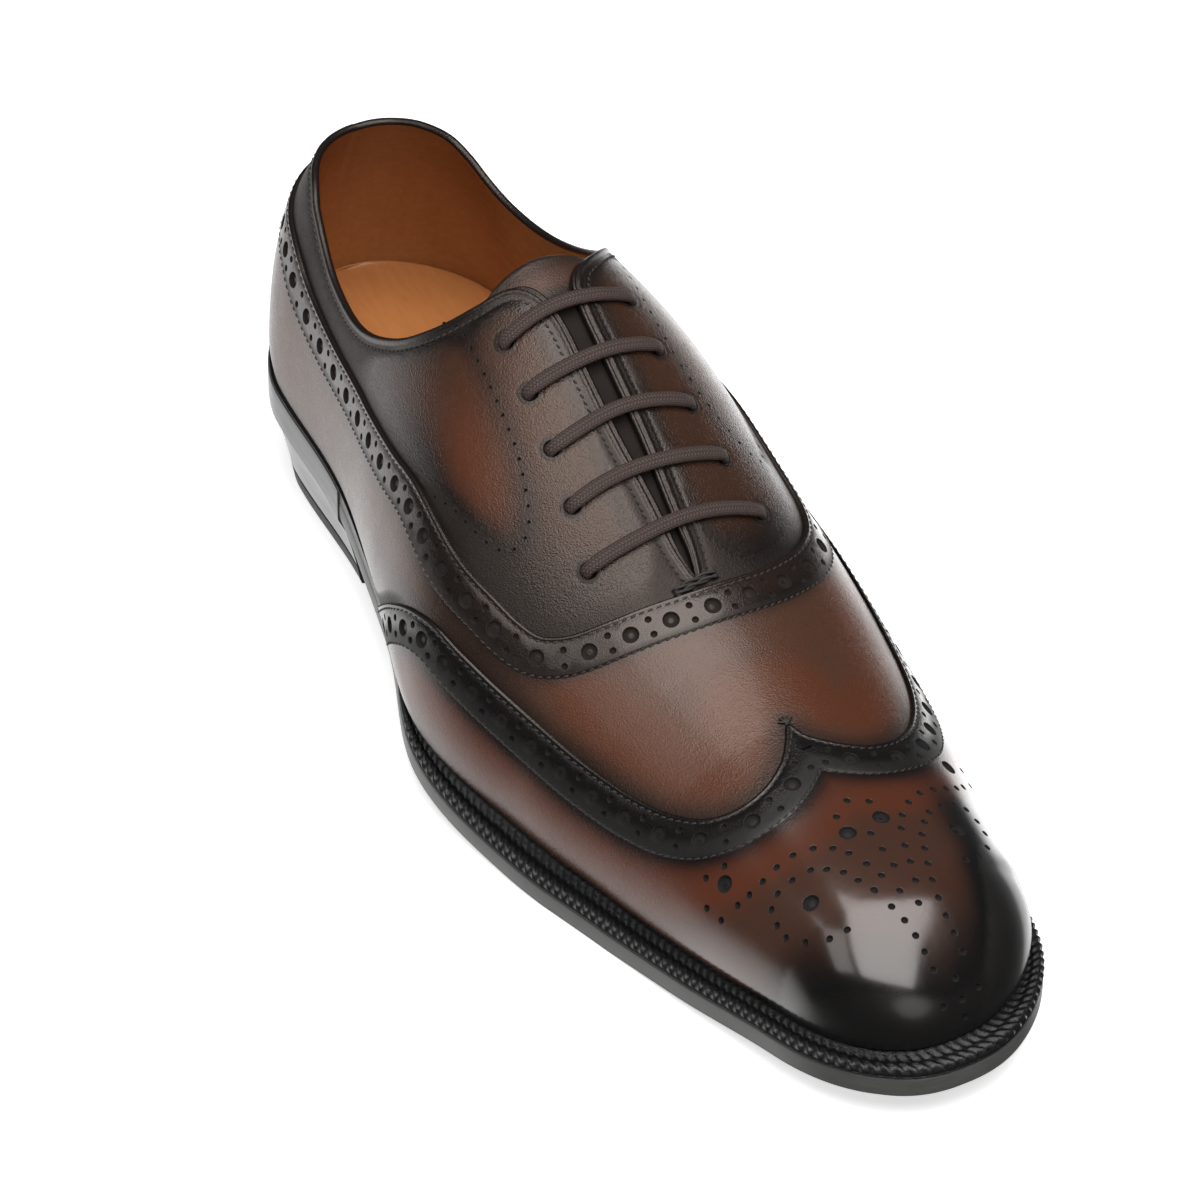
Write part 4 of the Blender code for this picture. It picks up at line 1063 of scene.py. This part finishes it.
# Painted shade: the inner side of the toe cap is darkened towards black where it turns away from the lamps.
inner_toe_painted_shade = smooth_step(share, 0.79, 0.86) * smooth_step(side, 0.20, 0.42)
wing_panel.fields = {
    "burnish_and_shade": np.clip(burnish_and_shade + 0.95 * inner_toe_painted_shade, 0, 1.3),
    "ruddy": np.clip(hump(from_seam - 0.0155, 0.006) * 0.9 + 0.25, 0, 1),
    "polish": np.clip(smooth_step(share, 0.76, 0.87) * (1 - in_band * 0.5) + 0.25, 0, 1),
}
cut_edge(wing_panel, edge_ids, wing)

# Foot of the wing cap, turned in under the feather edge
foot_ids = np.arange(len(wing_front))
foot_up = wing_panel.up[foot_ids]
foot_in = wing_panel.points[foot_ids] - foot_up * np.array([0.6, 0.6, 0.2]) * 0.002
foot_in[:, 2] -= 0.0004
wing_panel.add_rows(foot_ids, [foot_in], -foot_up - np.array([0, 0, 1.0]), False, CUT_LEATHER)
punch_band(wing_panel)
wing_panel.build("wing_cap_leather", cap_calf, "cap_leather", ["wing_cap"])

# Vamp and galosh: from the feather edge up to the galosh line, and forward under the wing cap
vamp_front = within_last(wing.offset(0.0022))
vamp_outline = np.concatenate([
    feather_line(-1, 0, vamp_front[0, 0], EDGE_STEP), vamp_front,
    feather_line(1, 0, vamp_front[-1, 0], EDGE_STEP)[:0:-1],
])
vamp_sheet, galosh_sheet = unroll(*vamp_outline.T), unroll(*galosh.plan.T)
galosh_holes = 45
galosh_step = galosh.length() / galosh_holes
large, small = band_holes(galosh, 0.70 * galosh_step, galosh_step, galosh_holes)
vamp_rings = [rings(large, LARGE_HOLE, 20), rings(small, SMALL_HOLE, 12)]
vamp_panel = Panel(
    [vamp_outline, galosh.plan], [galosh.offset(d) for d in EDGE_LINES], vamp_rings,
    spacing=OVERLAY_STEP, keep=lambda p: inside(p, vamp_sheet) & ~inside(p, galosh_sheet),
)
u, v = vamp_panel.plan.T
place = last_point(u, v)
from_galosh, from_wing = galosh.away(place), wing.away(place)
share, side = u / LAST_LENGTH, v / half_width(u, v)
vamp_panel.shape(VAMP_TOP + np.interp(from_galosh, BAND_AT, BAND_RISE), 0.0009)
vamp_panel.lean(*galosh.nearest(place), BAND_AT, BAND_RISE)
in_band = 1 - smooth_step(from_galosh, *BAND_FADE)
lower = smooth_step(reach(u, v), 0.92, 1.0)
front = smooth_step(share, 0.58, 0.63)
burnish_and_shade = in_band * 0.82 + hump(from_galosh - 0.0095, 0.0028) * 0.4 + hump(from_wing, 0.0045) * 0.7
outer_wing = hump(from_wing, 0.014) * smooth_step(-share, -0.50, -0.42) * (side < 0)
vamp_panel.fields = {
    "burnish_and_shade": np.clip(burnish_and_shade + 0.6 * outer_wing + lower * 0.5 + 0.08 - front * 0.08, 0, 1.3),
    "ruddy": np.clip(front * hump(from_wing - 0.011, 0.008) * 0.8 + 0.22, 0, 1),
    "polish": 0.22 + 0.2 * in_band,
}
cut_edge(vamp_panel, len(vamp_outline) + np.arange(len(galosh.plan)), galosh)
punch_band(vamp_panel)
vamp_panel.build("vamp_leather", vamp_calf, "vamp_leather", ["vamp"])

# Quarters with facings, rolled topline, eyelets and pin holes
eyelet_side = np.concatenate([EYELETS["outer"], EYELETS["inner"]])
eyelet_u = np.tile(EYELETS["share"], 2) * LAST_LENGTH
eyelets = np.stack([eyelet_u, eyelet_side * half_width(eyelet_u, eyelet_side)], axis=-1)
pins = np.concatenate([even(Seam(rows, False, 1).plan, 0.0038) for rows in (OUTER_PIN_ROWS, INNER_PIN_ROWS)])
quarter_edge = galosh.offset(0.0026)
topline = walk(rim.plan, rim.side, 0.0016)
quarter_sheet, topline_sheet = unroll(*quarter_edge.T), unroll(*topline.T)
hole_rings = [rings(eyelets, EYELET_RADIUS - 0.0002, 24), rings(pins, 0.0005, 8)]
pressed = [ring for radius in (0.0025, 0.0029, 0.0033, 0.0037, 0.0042) for ring in rings(eyelets, radius, 24)]
stitch_lines = [rim.offset(RIM_STITCHES + move) for move in (-0.0004, 0, 0.0004)]
quarters = Panel(
    [quarter_edge, topline], stitch_lines, hole_rings, pressed, spacing=QUARTER_STEP,
    keep=lambda p: inside(p, quarter_sheet) & ~inside(p, topline_sheet),
)
u, v = quarters.plan.T
place = last_point(u, v)
from_rim, from_galosh = rim.away(place), galosh.away(place)
eyelet_points, pin_points = last_point(*eyelets.T), last_point(*pins.T)
eyelet_gaps = np.linalg.norm(place[:, None] - eyelet_points[None], axis=-1)
from_eyelet, nearest_eyelet = eyelet_gaps.min(axis=1), eyelet_points[eyelet_gaps.argmin(axis=1)]
from_pins = np.linalg.norm(place[:, None] - pin_points[None], axis=-1).min(axis=1)
steps = np.linspace(0, 0.01, 201)
groove, pressing = -0.00012 * hump(steps - RIM_STITCHES, 0.0003), -0.00005 * hump(steps - 0.0032, 0.00035)
quarters.shape(np.interp(from_rim, steps, groove) + np.interp(from_eyelet, steps, pressing))
quarters.lean(*rim.nearest(place), steps, groove)
quarters.lean(from_eyelet, unit(place - nearest_eyelet), steps, pressing)
share, side = u / LAST_LENGTH, v / half_width(u, v)
blob = hump(np.hypot((share - 0.45) / 0.06, (side + 0.44) / 0.10), 1.0)
burnish_and_shade = hump(from_galosh, 0.0115) * 1.05 + hump(from_rim, 0.0065) * 0.95 + hump(from_pins, 0.0032) * 0.45
# A little darker within 3 to 4 mm of the rim; a dark ring on each eyelet's rim is painted shade round the
# hole.
burnish_and_shade += 0.15 * smooth_step(-from_rim, -0.0042, -0.0030) + hump(from_eyelet - 0.0022, 0.0009) * 0.8
burnish_and_shade += smooth_step(share, 0.26, 0.06) * 0.5 + 0.14 - blob * 0.25
quarters.fields = {
    "burnish_and_shade": np.clip(burnish_and_shade + 0.35 * hump(share - 0.53, 0.05) * (side < 0), 0, 1.3),
    "ruddy": np.clip(blob * 0.8 + 0.25, 0, 1),
    "polish": np.clip(hump(from_rim, 0.003) * 0.5 + 0.1, 0, 1),
}
topline_ids = len(quarter_edge) + np.arange(len(topline))

# Rolled edge in millimetres: over the opening and risen, at the collar and at the slot
BEAD = (
    (-1.3, -0.12), (-1.0, 0.12), (-0.55, 0.32), (0, 0.25), (0.35, -0.1), (0.5, -0.6), (0.42, -1.1),
    (0.15, -1.5), (-0.3, -1.62),
)
SLOT_BEAD = (
    (-1.3, -0.12), (-0.9, 0.12), (-0.4, 0.28), (0.1, 0.2), (0.4, -0.25), (0.75, 0.12), (1.15, 0.16),
    (1.6, -0.25), (1.55, -1.5),
)
rim_share, rim_side = rim.plan[:, 0] / LAST_LENGTH, rim.plan[:, 1] / half_width(*rim.plan.T)
in_slot = smooth_step(rim_share, 0.345, 0.372) * smooth_step(-np.abs(rim_side), -0.22, -0.12)


def bead_row(plain_row, slot_row):
    """One row of the rolled edge, blended from the collar to the slot and narrowed near the slot's end."""
    over, rise = ((a + (b - a) * in_slot) * 0.001 for a, b in zip(plain_row, slot_row))
    over = over * (1 - 0.6 * smooth_step(rim_share, 0.555, 0.60) * (over > 0))
    plan = walk(rim.plan, rim.side, -over)
    return last_point(*plan.T) + rise[:, None] * normal(*plan.T)


bead = [bead_row(*pair) for pair in zip(BEAD, SLOT_BEAD)]
outward = np.stack([unit(normal(*rim.plan.T) * (1 + rise) - rim.side * over) for over, rise in BEAD])
quarters.add_rows(topline_ids, bead, outward, True, {"burnish_and_shade": 1.12, "polish": 0.25})
quarters.punch(0, PUNCH_EYELET, HOLE_WALL, EYELET_FLOOR_SHADE)
quarters.punch(1, PUNCH_PIN, HOLE_WALL)
quarters.build("quarter_leather", quarter_calf, "quarter_leather", ["upper"])

# Lining: the inner face of the upper, one wall's thickness inside the last
lining_edge = walk(rim.plan, rim.side, 0.0003)
lining_sheet = unroll(*lining_edge.T)
lining = Panel(
    [OUTLINE, lining_edge], spacing=LINING_STEP,
    keep=lambda p: inside(p, OUTLINE_SHEET) & ~inside(p, lining_sheet),
)
lining.shape(np.full(len(lining.plan), -WALL))
lining.build("quarter_lining", lining_tan, "insole_leather", inward=True)


# Threads
def stitch_row(plan, depth, pitch, length, radius, closed=False, slant=0.17):
    """Places, directions and radii of even stitches along a plan line, each turned a little."""
    plan = even(plan, pitch, closed)
    centre = last_point(*plan.T)
    run = np.roll(centre, -1, 0) - np.roll(centre, 1, 0) if closed else np.gradient(centre, axis=0)
    up = normal(*plan.T)
    along = unit(run - (run * up).sum(-1, keepdims=True) * up)
    along = along * math.cos(slant) + np.cross(up, along) * math.sin(slant)
    return centre + depth * up, along * length / 2, up * radius


def stitches(name, rows, finish, slot):
    """Short round threads: a ring carried over stations, narrowing and dipping at both ends."""
    centre, along, up = (np.concatenate(part) for part in zip(*rows))
    station = np.array([-1, -0.84, -0.45, 0, 0.45, 0.84, 1])
    girth = np.array([0.3, 0.75, 1, 1, 1, 0.75, 0.3])
    sides, last = 6, len(station) - 1
    turn = np.arange(sides) * 2 * math.pi / sides
    across = unit(np.cross(up, along)) * np.linalg.norm(up, axis=1, keepdims=True)
    ring = np.cos(turn)[:, None] * across[:, None] + np.sin(turn)[:, None] * up[:, None]
    line = along[:, None] * station[:, None] - 1.1 * up[:, None] * (station**2)[:, None]
    points = centre[:, None, None] + line[:, :, None] + ring[:, None] * girth[:, None, None]
    base = np.arange(len(centre))[:, None, None] * sides * len(station)
    quads = (base + bands([turn] * len(station))[None]).reshape(-1, 4)
    ends = [base[:, 0] + np.arange(sides)[::-1], base[:, 0] + sides * last + np.arange(sides)]
    make_piece(name, points.reshape(-1, 3), [quads, np.concatenate(ends)], finish, slot)


band_rows = []
for seam, top in ((galosh, VAMP_TOP), (wing, WING_TOP)):
    for distance, sunk in ((FIRST_STITCHES, 0.00006), (LAST_STITCHES, 0.00014)):
        line = seam.offset(distance)
        line = line if seam.closed else within_last(line)
        band_rows.append(stitch_row(line, top - sunk, 0.0021, 0.00165, 0.00027, seam.closed))

# A fan of threads at the wing's peak
turns = np.radians((-62, -30, 0, 30, 62))
tip = np.array([[WING_ROWS[WING_PEAK][0] * LAST_LENGTH - 0.0002, 0.0002]] * len(turns))
along, across = slopes(*tip.T)
way = unit(along) * -np.cos(turns)[:, None] + unit(across) * np.sin(turns)[:, None]
tip_up = normal(*tip.T)
fan_middle = last_point(*tip.T) + way * 0.0007 + tip_up * (VAMP_TOP + 0.0002)
band_rows.append((fan_middle, way * 0.0015, tip_up * 0.0003))
stitches("band_stitches", band_rows, dark_thread, "vamp_leather")
top_rows = [stitch_row(rim.offset(RIM_STITCHES), 0.00004, 0.0019, 0.0014, 0.00025, True, 0.3)]
stitches("topline_stitches", top_rows, dark_thread, "quarter_leather")


def carried(path, up, wide, high, sides, power=1.0):
    """Oval section carried along a path, with its own map: length in millimetres, share of the way round."""
    run = unit(np.gradient(path, axis=0))
    side = unit(np.cross(up, run))
    top = np.cross(run, side)
    turn = np.linspace(-0.5, 1.5, sides + 1) * math.pi
    c, s = (np.sign(f) * np.abs(f) ** power for f in (np.cos(turn), np.sin(turn)))
    wide, high = (np.reshape(np.broadcast_to(x, len(path)), (-1, 1, 1)) for x in (wide, high))
    points = path[:, None] + c[None, :, None] * side[:, None] * wide + s[None, :, None] * top[:, None] * high
    along, round_share = arc_length(path)[:, None] * 1000, (turn / (2 * math.pi) + 0.25)[None]
    flat = np.stack(np.broadcast_arrays(along, round_share), axis=-1)
    faces = [bands(points, closed=False), np.arange(sides)[::-1][None]]
    faces.append(np.arange(sides)[None] + len(points.reshape(-1, 3)) - sides - 1)
    return points.reshape(-1, 3), faces, flat.reshape(-1, 2)


# Middle of the lace in millimetres: distance from its end, and height over the facings
LACE_DIP_ROWS = (
    (-1.5, -2.6), (-1.25, -1.6), (-0.9, -0.5), (-0.3, 0.25), (0.6, 0.75), (1.8, 1.05), (3.4, 1.2),
    (6.0, 1.25),
)
DIP_AT, DIP_HEIGHT = np.array(LACE_DIP_ROWS).T * 0.001


def lace_bar(index):
    """Flat braided bar from eyelet to eyelet. Its height is a table of the distance from either end."""
    u = EYELETS["share"][index] * LAST_LENGTH
    ends = [EYELETS[name][index] * half_width(u, EYELETS[name][index]) for name in ("outer", "inner")]
    v = np.linspace(*ends, 400)
    length = arc_length(last_point(np.full_like(v, u), v))[-1]
    at = np.linspace(DIP_AT[0], length - DIP_AT[0], 110)
    v = v[0] + (v[-1] - v[0]) * at / length
    from_end = np.minimum(at, length - at)
    depth = spline(DIP_AT, DIP_HEIGHT, from_end) * (GAP + LACE_HEIGHT / 2) / DIP_HEIGHT[-1]
    up = normal(np.full_like(v, u), v)
    path = last_point(np.full_like(v, u), v) + depth[:, None] * up
    sway = 0.00025 * np.sin(index * 2.1 + at * 160)
    path = path + sway[:, None] * np.cross(up, unit(np.gradient(path, axis=0)))
    width = LACE_WIDTH / 2 * (0.86 + 0.14 * smooth_step(from_end, 0.0, 0.003))
    points, faces, flat = carried(path, up, width, LACE_HEIGHT / 2, 20, 0.75)
    name = f"lace_bar_{index + 1}"
    make_piece(f"{name}_braid", points, faces, lace_braid, "lace_cotton", [name], flat_map=flat)


for index in range(len(EYELET_ROWS)):
    lace_bar(index)


def twist(start, end, depth, radius, turns):
    """Two strands wound about each other along a straight plan line."""
    share = np.linspace(0, 1, 80)
    plan = start + (end - start) * share[:, None]
    up = normal(*plan.T)
    path = last_point(*plan.T) + (depth - 0.0012 * hump(np.minimum(share, 1 - share), 0.03))[:, None] * up
    side = unit(np.cross(up, np.gradient(path, axis=0)))
    made = []
    for phase in (0, math.pi):
        turn = (share * turns * 2 * math.pi + phase)[:, None]
        strand = path + radius * (np.cos(turn) * side + np.sin(turn) * up)
        made.append(carried(strand, up, radius, radius, 10)[:2])
    return made


def joined(parts):
    """Points and faces of several parts as one."""
    points, faces, base = [], [], 0
    for own_points, own_faces in parts:
        points.append(own_points)
        faces += [f + base for f in own_faces]
        base += len(own_points)
    return np.concatenate(points), faces


def plan_at(share, side):
    """Plan point from shares of the length and of the half width."""
    u = np.array(share) * LAST_LENGTH
    return np.stack([u, side * half_width(u, np.array(side))], axis=-1)


# Throat tack: two twisted cords across the end of the slot, as shares along and across
TACK_OUTER, TACK_INNER, TACK_SPREAD = (0.6064, -0.092), (0.6030, 0.058), 0.0017
TACK_RADIUS, TACK_TURNS = 0.00034, 1.5
tack = []
for move in (-TACK_SPREAD, TACK_SPREAD):
    start, end = (plan_at(share + move, side) for share, side in (TACK_OUTER, TACK_INNER))
    tack += twist(start, end, VAMP_TOP - 0.0002, TACK_RADIUS, TACK_TURNS)
make_piece("throat_tack", *joined(tack), dark_thread, "vamp_leather")

# Tongue: a flat oval section whose half width follows a table. It thins to nothing at both ends.
rows, columns = 120, 49
share = np.linspace(TONGUE["share"][0], TONGUE["share"][-1], rows)
half = spline(TONGUE["share"], TONGUE["half"], share)
turn = np.linspace(-0.5, 1.5, columns) * math.pi
end = np.clip(np.minimum(share - share[0], share[-1] - share) * LAST_LENGTH / 0.0007, 0, 1)
thick = TONGUE_THICKNESS / 2 * np.sqrt(1 - (1 - end) ** 2)
c, s = (np.sign(f) * np.abs(f) ** p for f, p in ((np.cos(turn), 0.9), (np.sin(turn), 0.14)))
side = half[:, None] * c
u = np.repeat(share * LAST_LENGTH, columns).reshape(rows, columns)
v = side * half_width(u, side)
groove = 0.00014 * hump((u - share[0] * LAST_LENGTH - 0.0024), 0.0003)
depth = -TONGUE_DEPTH - TONGUE_THICKNESS / 2 + thick[:, None] * s - groove * (s > 0)
points = last_point(u, v) + depth[..., None] * normal(u, v)
edge = hump(u - share[0] * LAST_LENGTH, 0.005)
# Darker at the tongue's back end. Forward of 0.365 to 0.385 of the length the tongue is painted near black:
# painted shade in the gap between the facings.
burnish_and_shade = edge * 0.6 + 0.15 + 1.5 * smooth_step(u / LAST_LENGTH, 0.365, 0.385)
tongue_fields = {"burnish_and_shade": burnish_and_shade.ravel(), "ruddy": np.full(u.size, 0.3), "polish": np.full(u.size, 0.1)}
make_piece(
    "tongue_leather", points.reshape(-1, 3), [bands(points, closed=False)], tongue_calf, "tongue_leather",
    ["tongue"], tongue_fields,
)


def make_rows(name, rows, finish, slot, node):
    """A piece in place of a node, as closed rows joined by quads."""
    make_piece(name, np.concatenate(rows), [bands(rows)], finish, slot, [node])


# Insole: a rim inside the wall and a cover that dishes towards its middle line
path = feather_loop(720)
insole_loop = moved_out(path, -(WALL + 0.0004))
insole_rows = [lift(insole_loop, feather_height(insole_loop[:, 0]) + 0.0002)]
for inset, drop in ((0.0, 0.0007), (0.0004, 0.0002)):
    loop = moved_out(insole_loop, -inset)
    insole_rows.append(lift(loop, feather_height(loop[:, 0]) + INSOLE_RISE - drop))
parts = np.linspace(0, 1, 16)
for loop, part in zip(to_midline(moved_out(insole_loop, -0.001), parts), parts):
    dish = 0.0010 * part * (2 - part)
    insole_rows.append(lift(loop, feather_height(loop[:, 0]) + INSOLE_RISE - dish))
make_rows("insole_cover", insole_rows, insole_tan, "insole_leather", "insole")

# Welt: a profile carried round the feather edge, with wheeled grooves on its side and its top
welt_path = feather_loop(2640)
welt_margin = margin(welt_path)
length = arc_length(welt_path)
rib_count = round(length[-1] / RIB_PITCH)
phase = length / length[-1] * rib_count
shrink = np.clip(welt_margin / 0.004, 0, 1)
ribbed = smooth_step(welt_margin, 0.0022, 0.0034)
welt_rows = [lift(moved_out(welt_path, -WELT_SEAT), outsole_top(welt_path[:, 0]) + GAP)]

# Side of the welt in millimetres: out past its edge, height from its top, and share of the grooves' depth
WELT_SIDE = (
    (0.0, -3.4, 0.0), (0.0, -3.2, 0.0), (-0.28, -3.1, 0.0), (-0.28, -2.9, 0.1), (0.08, -2.65, 0.8),
    (0.2, -2.25, 1.0), (0.1, -1.7, 1.0), (-0.25, -1.15, 1.0), (-0.75, -0.82, 1.0), (-1.35, -0.75, 1.0),
)


def welt_row(across, rise, depth, sideways):
    """One row of the welt: wheeled grooves are a cosine of the length, slanting back towards the upper."""
    turn = phase + (welt_margin - across) / RIB_SLANT
    groove = RIB_DEPTH * depth * ribbed * (0.5 + 0.5 * np.cos(2 * math.pi * turn)) ** 0.8
    loop = moved_out(welt_path, across - groove * sideways)
    return lift(loop, welt_top(loop[:, 0]) + rise - groove)


for over, rise, depth in WELT_SIDE:
    low = rise * 0.001 if rise < -2.8 else rise * 0.001 * shrink
    welt_rows.append(welt_row(welt_margin + over * 0.001 * shrink, low, depth, 0.8 if rise < -1.0 else 0.0))
for part in np.linspace(0, 1, 9):
    across = (welt_margin - 0.0019 * shrink) * (1 - part) + 0.0004 * part
    dip = -0.00078 - 0.0007 * smooth_step(part, 0.1, 0.55) + 0.0004 * smooth_step(part, 0.6, 1.0)
    welt_rows.append(welt_row(across, dip * shrink, 1.0 - 0.55 * smooth_step(part, 0.5, 1.0), 0.0))
for over, rise in ((-0.5, -0.3), (-2.2, 0.0)):
    loop = moved_out(welt_path, over * 0.001)
    welt_rows.append(lift(loop, welt_top(loop[:, 0]) + rise * 0.001))
make_rows("welt_seam", welt_rows, welt_black, "welt_leather", "welt")

# Outsole: its rounded edge in millimetres, as inset from the outline and height from the bottom
SOLE_EDGE = (
    (1.0, 0.0), (0.45, 0.08), (0.12, 0.35), (0.0, 0.8), (-0.06, 2.6), (0.0, 4.7), (0.12, 5.2), (0.4, 5.5),
    (1.2, 5.5),
)
path = feather_loop(960)
reach_out = margin(path)
sole_rows = []
for loop in to_midline(moved_out(path, reach_out - 0.0016), np.linspace(1, 0, 12)):
    sole_rows.append(lift(loop, outsole_bottom(loop[:, 0])))
for inset, rise in SOLE_EDGE:
    loop = moved_out(path, reach_out - inset * 0.001)
    sole_rows.append(lift(loop, outsole_bottom(loop[:, 0]) + rise * 0.001))
for loop in to_midline(moved_out(path, reach_out - 0.0016), np.linspace(0.02, 1, 8)):
    sole_rows.append(lift(loop, outsole_top(loop[:, 0])))
make_rows("outsole_edge", sole_rows, sole_black, "sole_leather", "outsole")


# Heel
def heel_loop(drop, inset=0.0):
    """Plan loop of the heel at a share of the way down: tapered, with a hollow breast."""
    inner, outer = (feather_line(side, 0, HEEL_LENGTH, 0.0008) for side in (1, -1))
    arc = np.concatenate([inner[::-1], outer[1:]])
    arc = moved_out(arc, margin(arc) - HEEL_TAPER * drop**0.75 - inset, closed=False)
    share = np.linspace(0, 1, 61)[1:-1]
    breast = arc[-1] + (arc[0] - arc[-1]) * share[:, None]
    breast[:, 0] -= HEEL_BREAST_CURVE * 4 * share * (1 - share)
    return np.concatenate([arc, breast])


def heel_stack(name, levels, height_at, finish, slot, nodes):
    """Loops at levels (share of the way down, inset), closed by one face below and one above."""
    loops = [heel_loop(max(drop, 0), inset) for drop, inset in levels]
    rows = [lift(loop, height_at(loop, drop)) for loop, (drop, inset) in zip(loops, levels)]
    count = len(rows[0])
    ends = [np.arange(count)[::-1][None], (np.arange(count) + (len(rows) - 1) * count)[None]]
    make_piece(name, np.concatenate(rows), [bands(rows)] + ends, finish, slot, nodes)


# Share of the way down at which the rubber piece begins
split = 1 - TOP_PIECE_THICKNESS / HEEL_LIFT


def block_height(plan, drop):
    """Even lifts between the top piece and the outsole; a level below 0 is that far up the sole's edge."""
    roof, foot = outsole_bottom(plan[:, 0]) - GAP, TOP_PIECE_THICKNESS + GAP
    return foot + (roof - foot) * (1 - max(drop, 0) / split) - min(drop, 0)




def piece_height(plan, drop):
    """From the floor up to the thickness of the rubber piece."""
    return np.full(len(plan), TOP_PIECE_THICKNESS * (1 - drop) / (1 - split))


BLOCK_LEVELS = (
    (split, 0.0004), (split - 0.012, 0.0001), (split - 0.03, 0.0), (0.60, 0.0), (0.40, 0.0), (0.20, 0.0),
    (0.0, -0.00025), (-0.003, -0.0003), (-0.006, -0.0003), (-0.0084, -0.0003), (-0.0089, -0.0001),
    (-0.0091, 0.0012),
)
PIECE_LEVELS = (
    (1.0, 0.0006), (0.988, 0.0001), (0.97, 0.0), (split + 0.02, 0.0), (split + 0.006, 0.0001),
    (split, 0.0003),
)
heel_stack("heel_lifts", BLOCK_LEVELS, block_height, heel_black, "heel_leather", ["heel_block"])
heel_stack("heel_rubber_piece", PIECE_LEVELS, piece_height, rubber_black, "heel_rubber", ["heel_top_piece"])

# Floor, faintly lit from within so that it stays white
studio_white = Shader("studio_white", Base_Color=(0.86, 0.86, 0.86), Roughness=0.7, Specular_IOR_Level=0.2)
studio_white.set(Emission_Color=(1.0, 1.0, 1.0), Emission_Strength=0.6)
bpy.ops.mesh.primitive_plane_add(size=6.0, location=(0, 0, 0))
floor = bpy.context.object
floor.name = "studio_floor"
floor.data.materials.append(studio_white.material)
floor.visible_glossy = False


def placed(thing, side, up, back, place):
    """Give an object these three axes and this place."""
    thing.matrix_world = Matrix(np.vstack([np.column_stack([side, up, back, place]), [0, 0, 0, 1]]).tolist())


CAMERA_TURN, CAMERA_RISE, CAMERA_ROLL = math.radians(60.2), math.radians(40.5), math.radians(0.87)
CAMERA_TARGET = np.array([0.1478, -0.00835, 0.040]) + SHIFT
CAMERA_DISTANCE = 1.764
SENSOR_WIDTH = 36.0
FOCAL_SHARE = 7517 / 1200
away = np.array([-math.sin(CAMERA_TURN), math.cos(CAMERA_TURN), 0])
right = np.array([math.cos(CAMERA_TURN), math.sin(CAMERA_TURN), 0])
upwards = np.array([0, 0, 1.0])
forward = away * math.cos(CAMERA_RISE) - upwards * math.sin(CAMERA_RISE)
above = np.cross(right, forward)
level = right * math.cos(CAMERA_ROLL) + above * math.sin(CAMERA_ROLL)
upright = -right * math.sin(CAMERA_ROLL) + above * math.cos(CAMERA_ROLL)
lens = bpy.data.cameras.new("photo_camera")
lens.sensor_width = SENSOR_WIDTH
lens.lens = SENSOR_WIDTH * FOCAL_SHARE
camera = add_object("photo_camera", lens)
placed(camera, level, upright, -forward, CAMERA_TARGET - forward * CAMERA_DISTANCE)
bpy.context.scene.camera = camera

# Softboxes: direction from the shoe as shares of right, away and upwards, width, depth and watts
LAMP_DISTANCE = 1.5
SOFTBOXES = {
    "top_box": (0.10, -0.24, 1.32, 1.6, 35),
    "outer_box": (-0.68, -0.42, 0.5, 0.9, 3.2),
}
for name, (to_right, to_away, width, depth, watts) in SOFTBOXES.items():
    lamp = bpy.data.lights.new(name, "AREA")
    lamp.shape, lamp.size, lamp.size_y, lamp.energy = "RECTANGLE", width, depth, watts
    back = unit(to_right * right + to_away * away + upwards)
    side = unit(right - (right @ back) * back)
    placed(add_object(name, lamp), side, np.cross(back, side), back, CAMERA_TARGET + LAMP_DISTANCE * back)

# Studio air: dim, with four white reflectors. The direction of each is in shares of right, away and
# upwards. Its light grows smoothly between two cosines of the angle to it, up to a strength.
AIR_LIGHT = 0.07
REFLECTORS = (
    (-0.85, 0.25, -0.5, 0.80, 0.98, 1.9),
    (-0.1, 0.8, -0.6, 0.85, 0.97, 1.5),
    (0.5, 0.8, -0.4, 0.92, 0.985, 2.8),
    (0.38, -0.85, 0.35, 0.93, 0.99, 1.6),
)
world = bpy.data.worlds.new("studio_air")
bpy.context.scene.world = world
air = Nodes(world, "Background")
direction = air.node("ShaderNodeTexCoord", {}, {}, "Generated")
light = AIR_LIGHT
for to_right, to_away, to_up, start, end, strength in REFLECTORS:
    toward = tuple(unit(to_right * right + to_away * away + to_up * upwards))
    near = air.node("ShaderNodeVectorMath", {"operation": "DOT_PRODUCT"}, {0: direction, 1: toward}, "Value")
    light = near.ramp(start, end) * strength + light
air.set(Color=(1.0, 1.0, 1.0), Strength=light)
bpy.context.scene.view_settings.view_transform = "Standard"
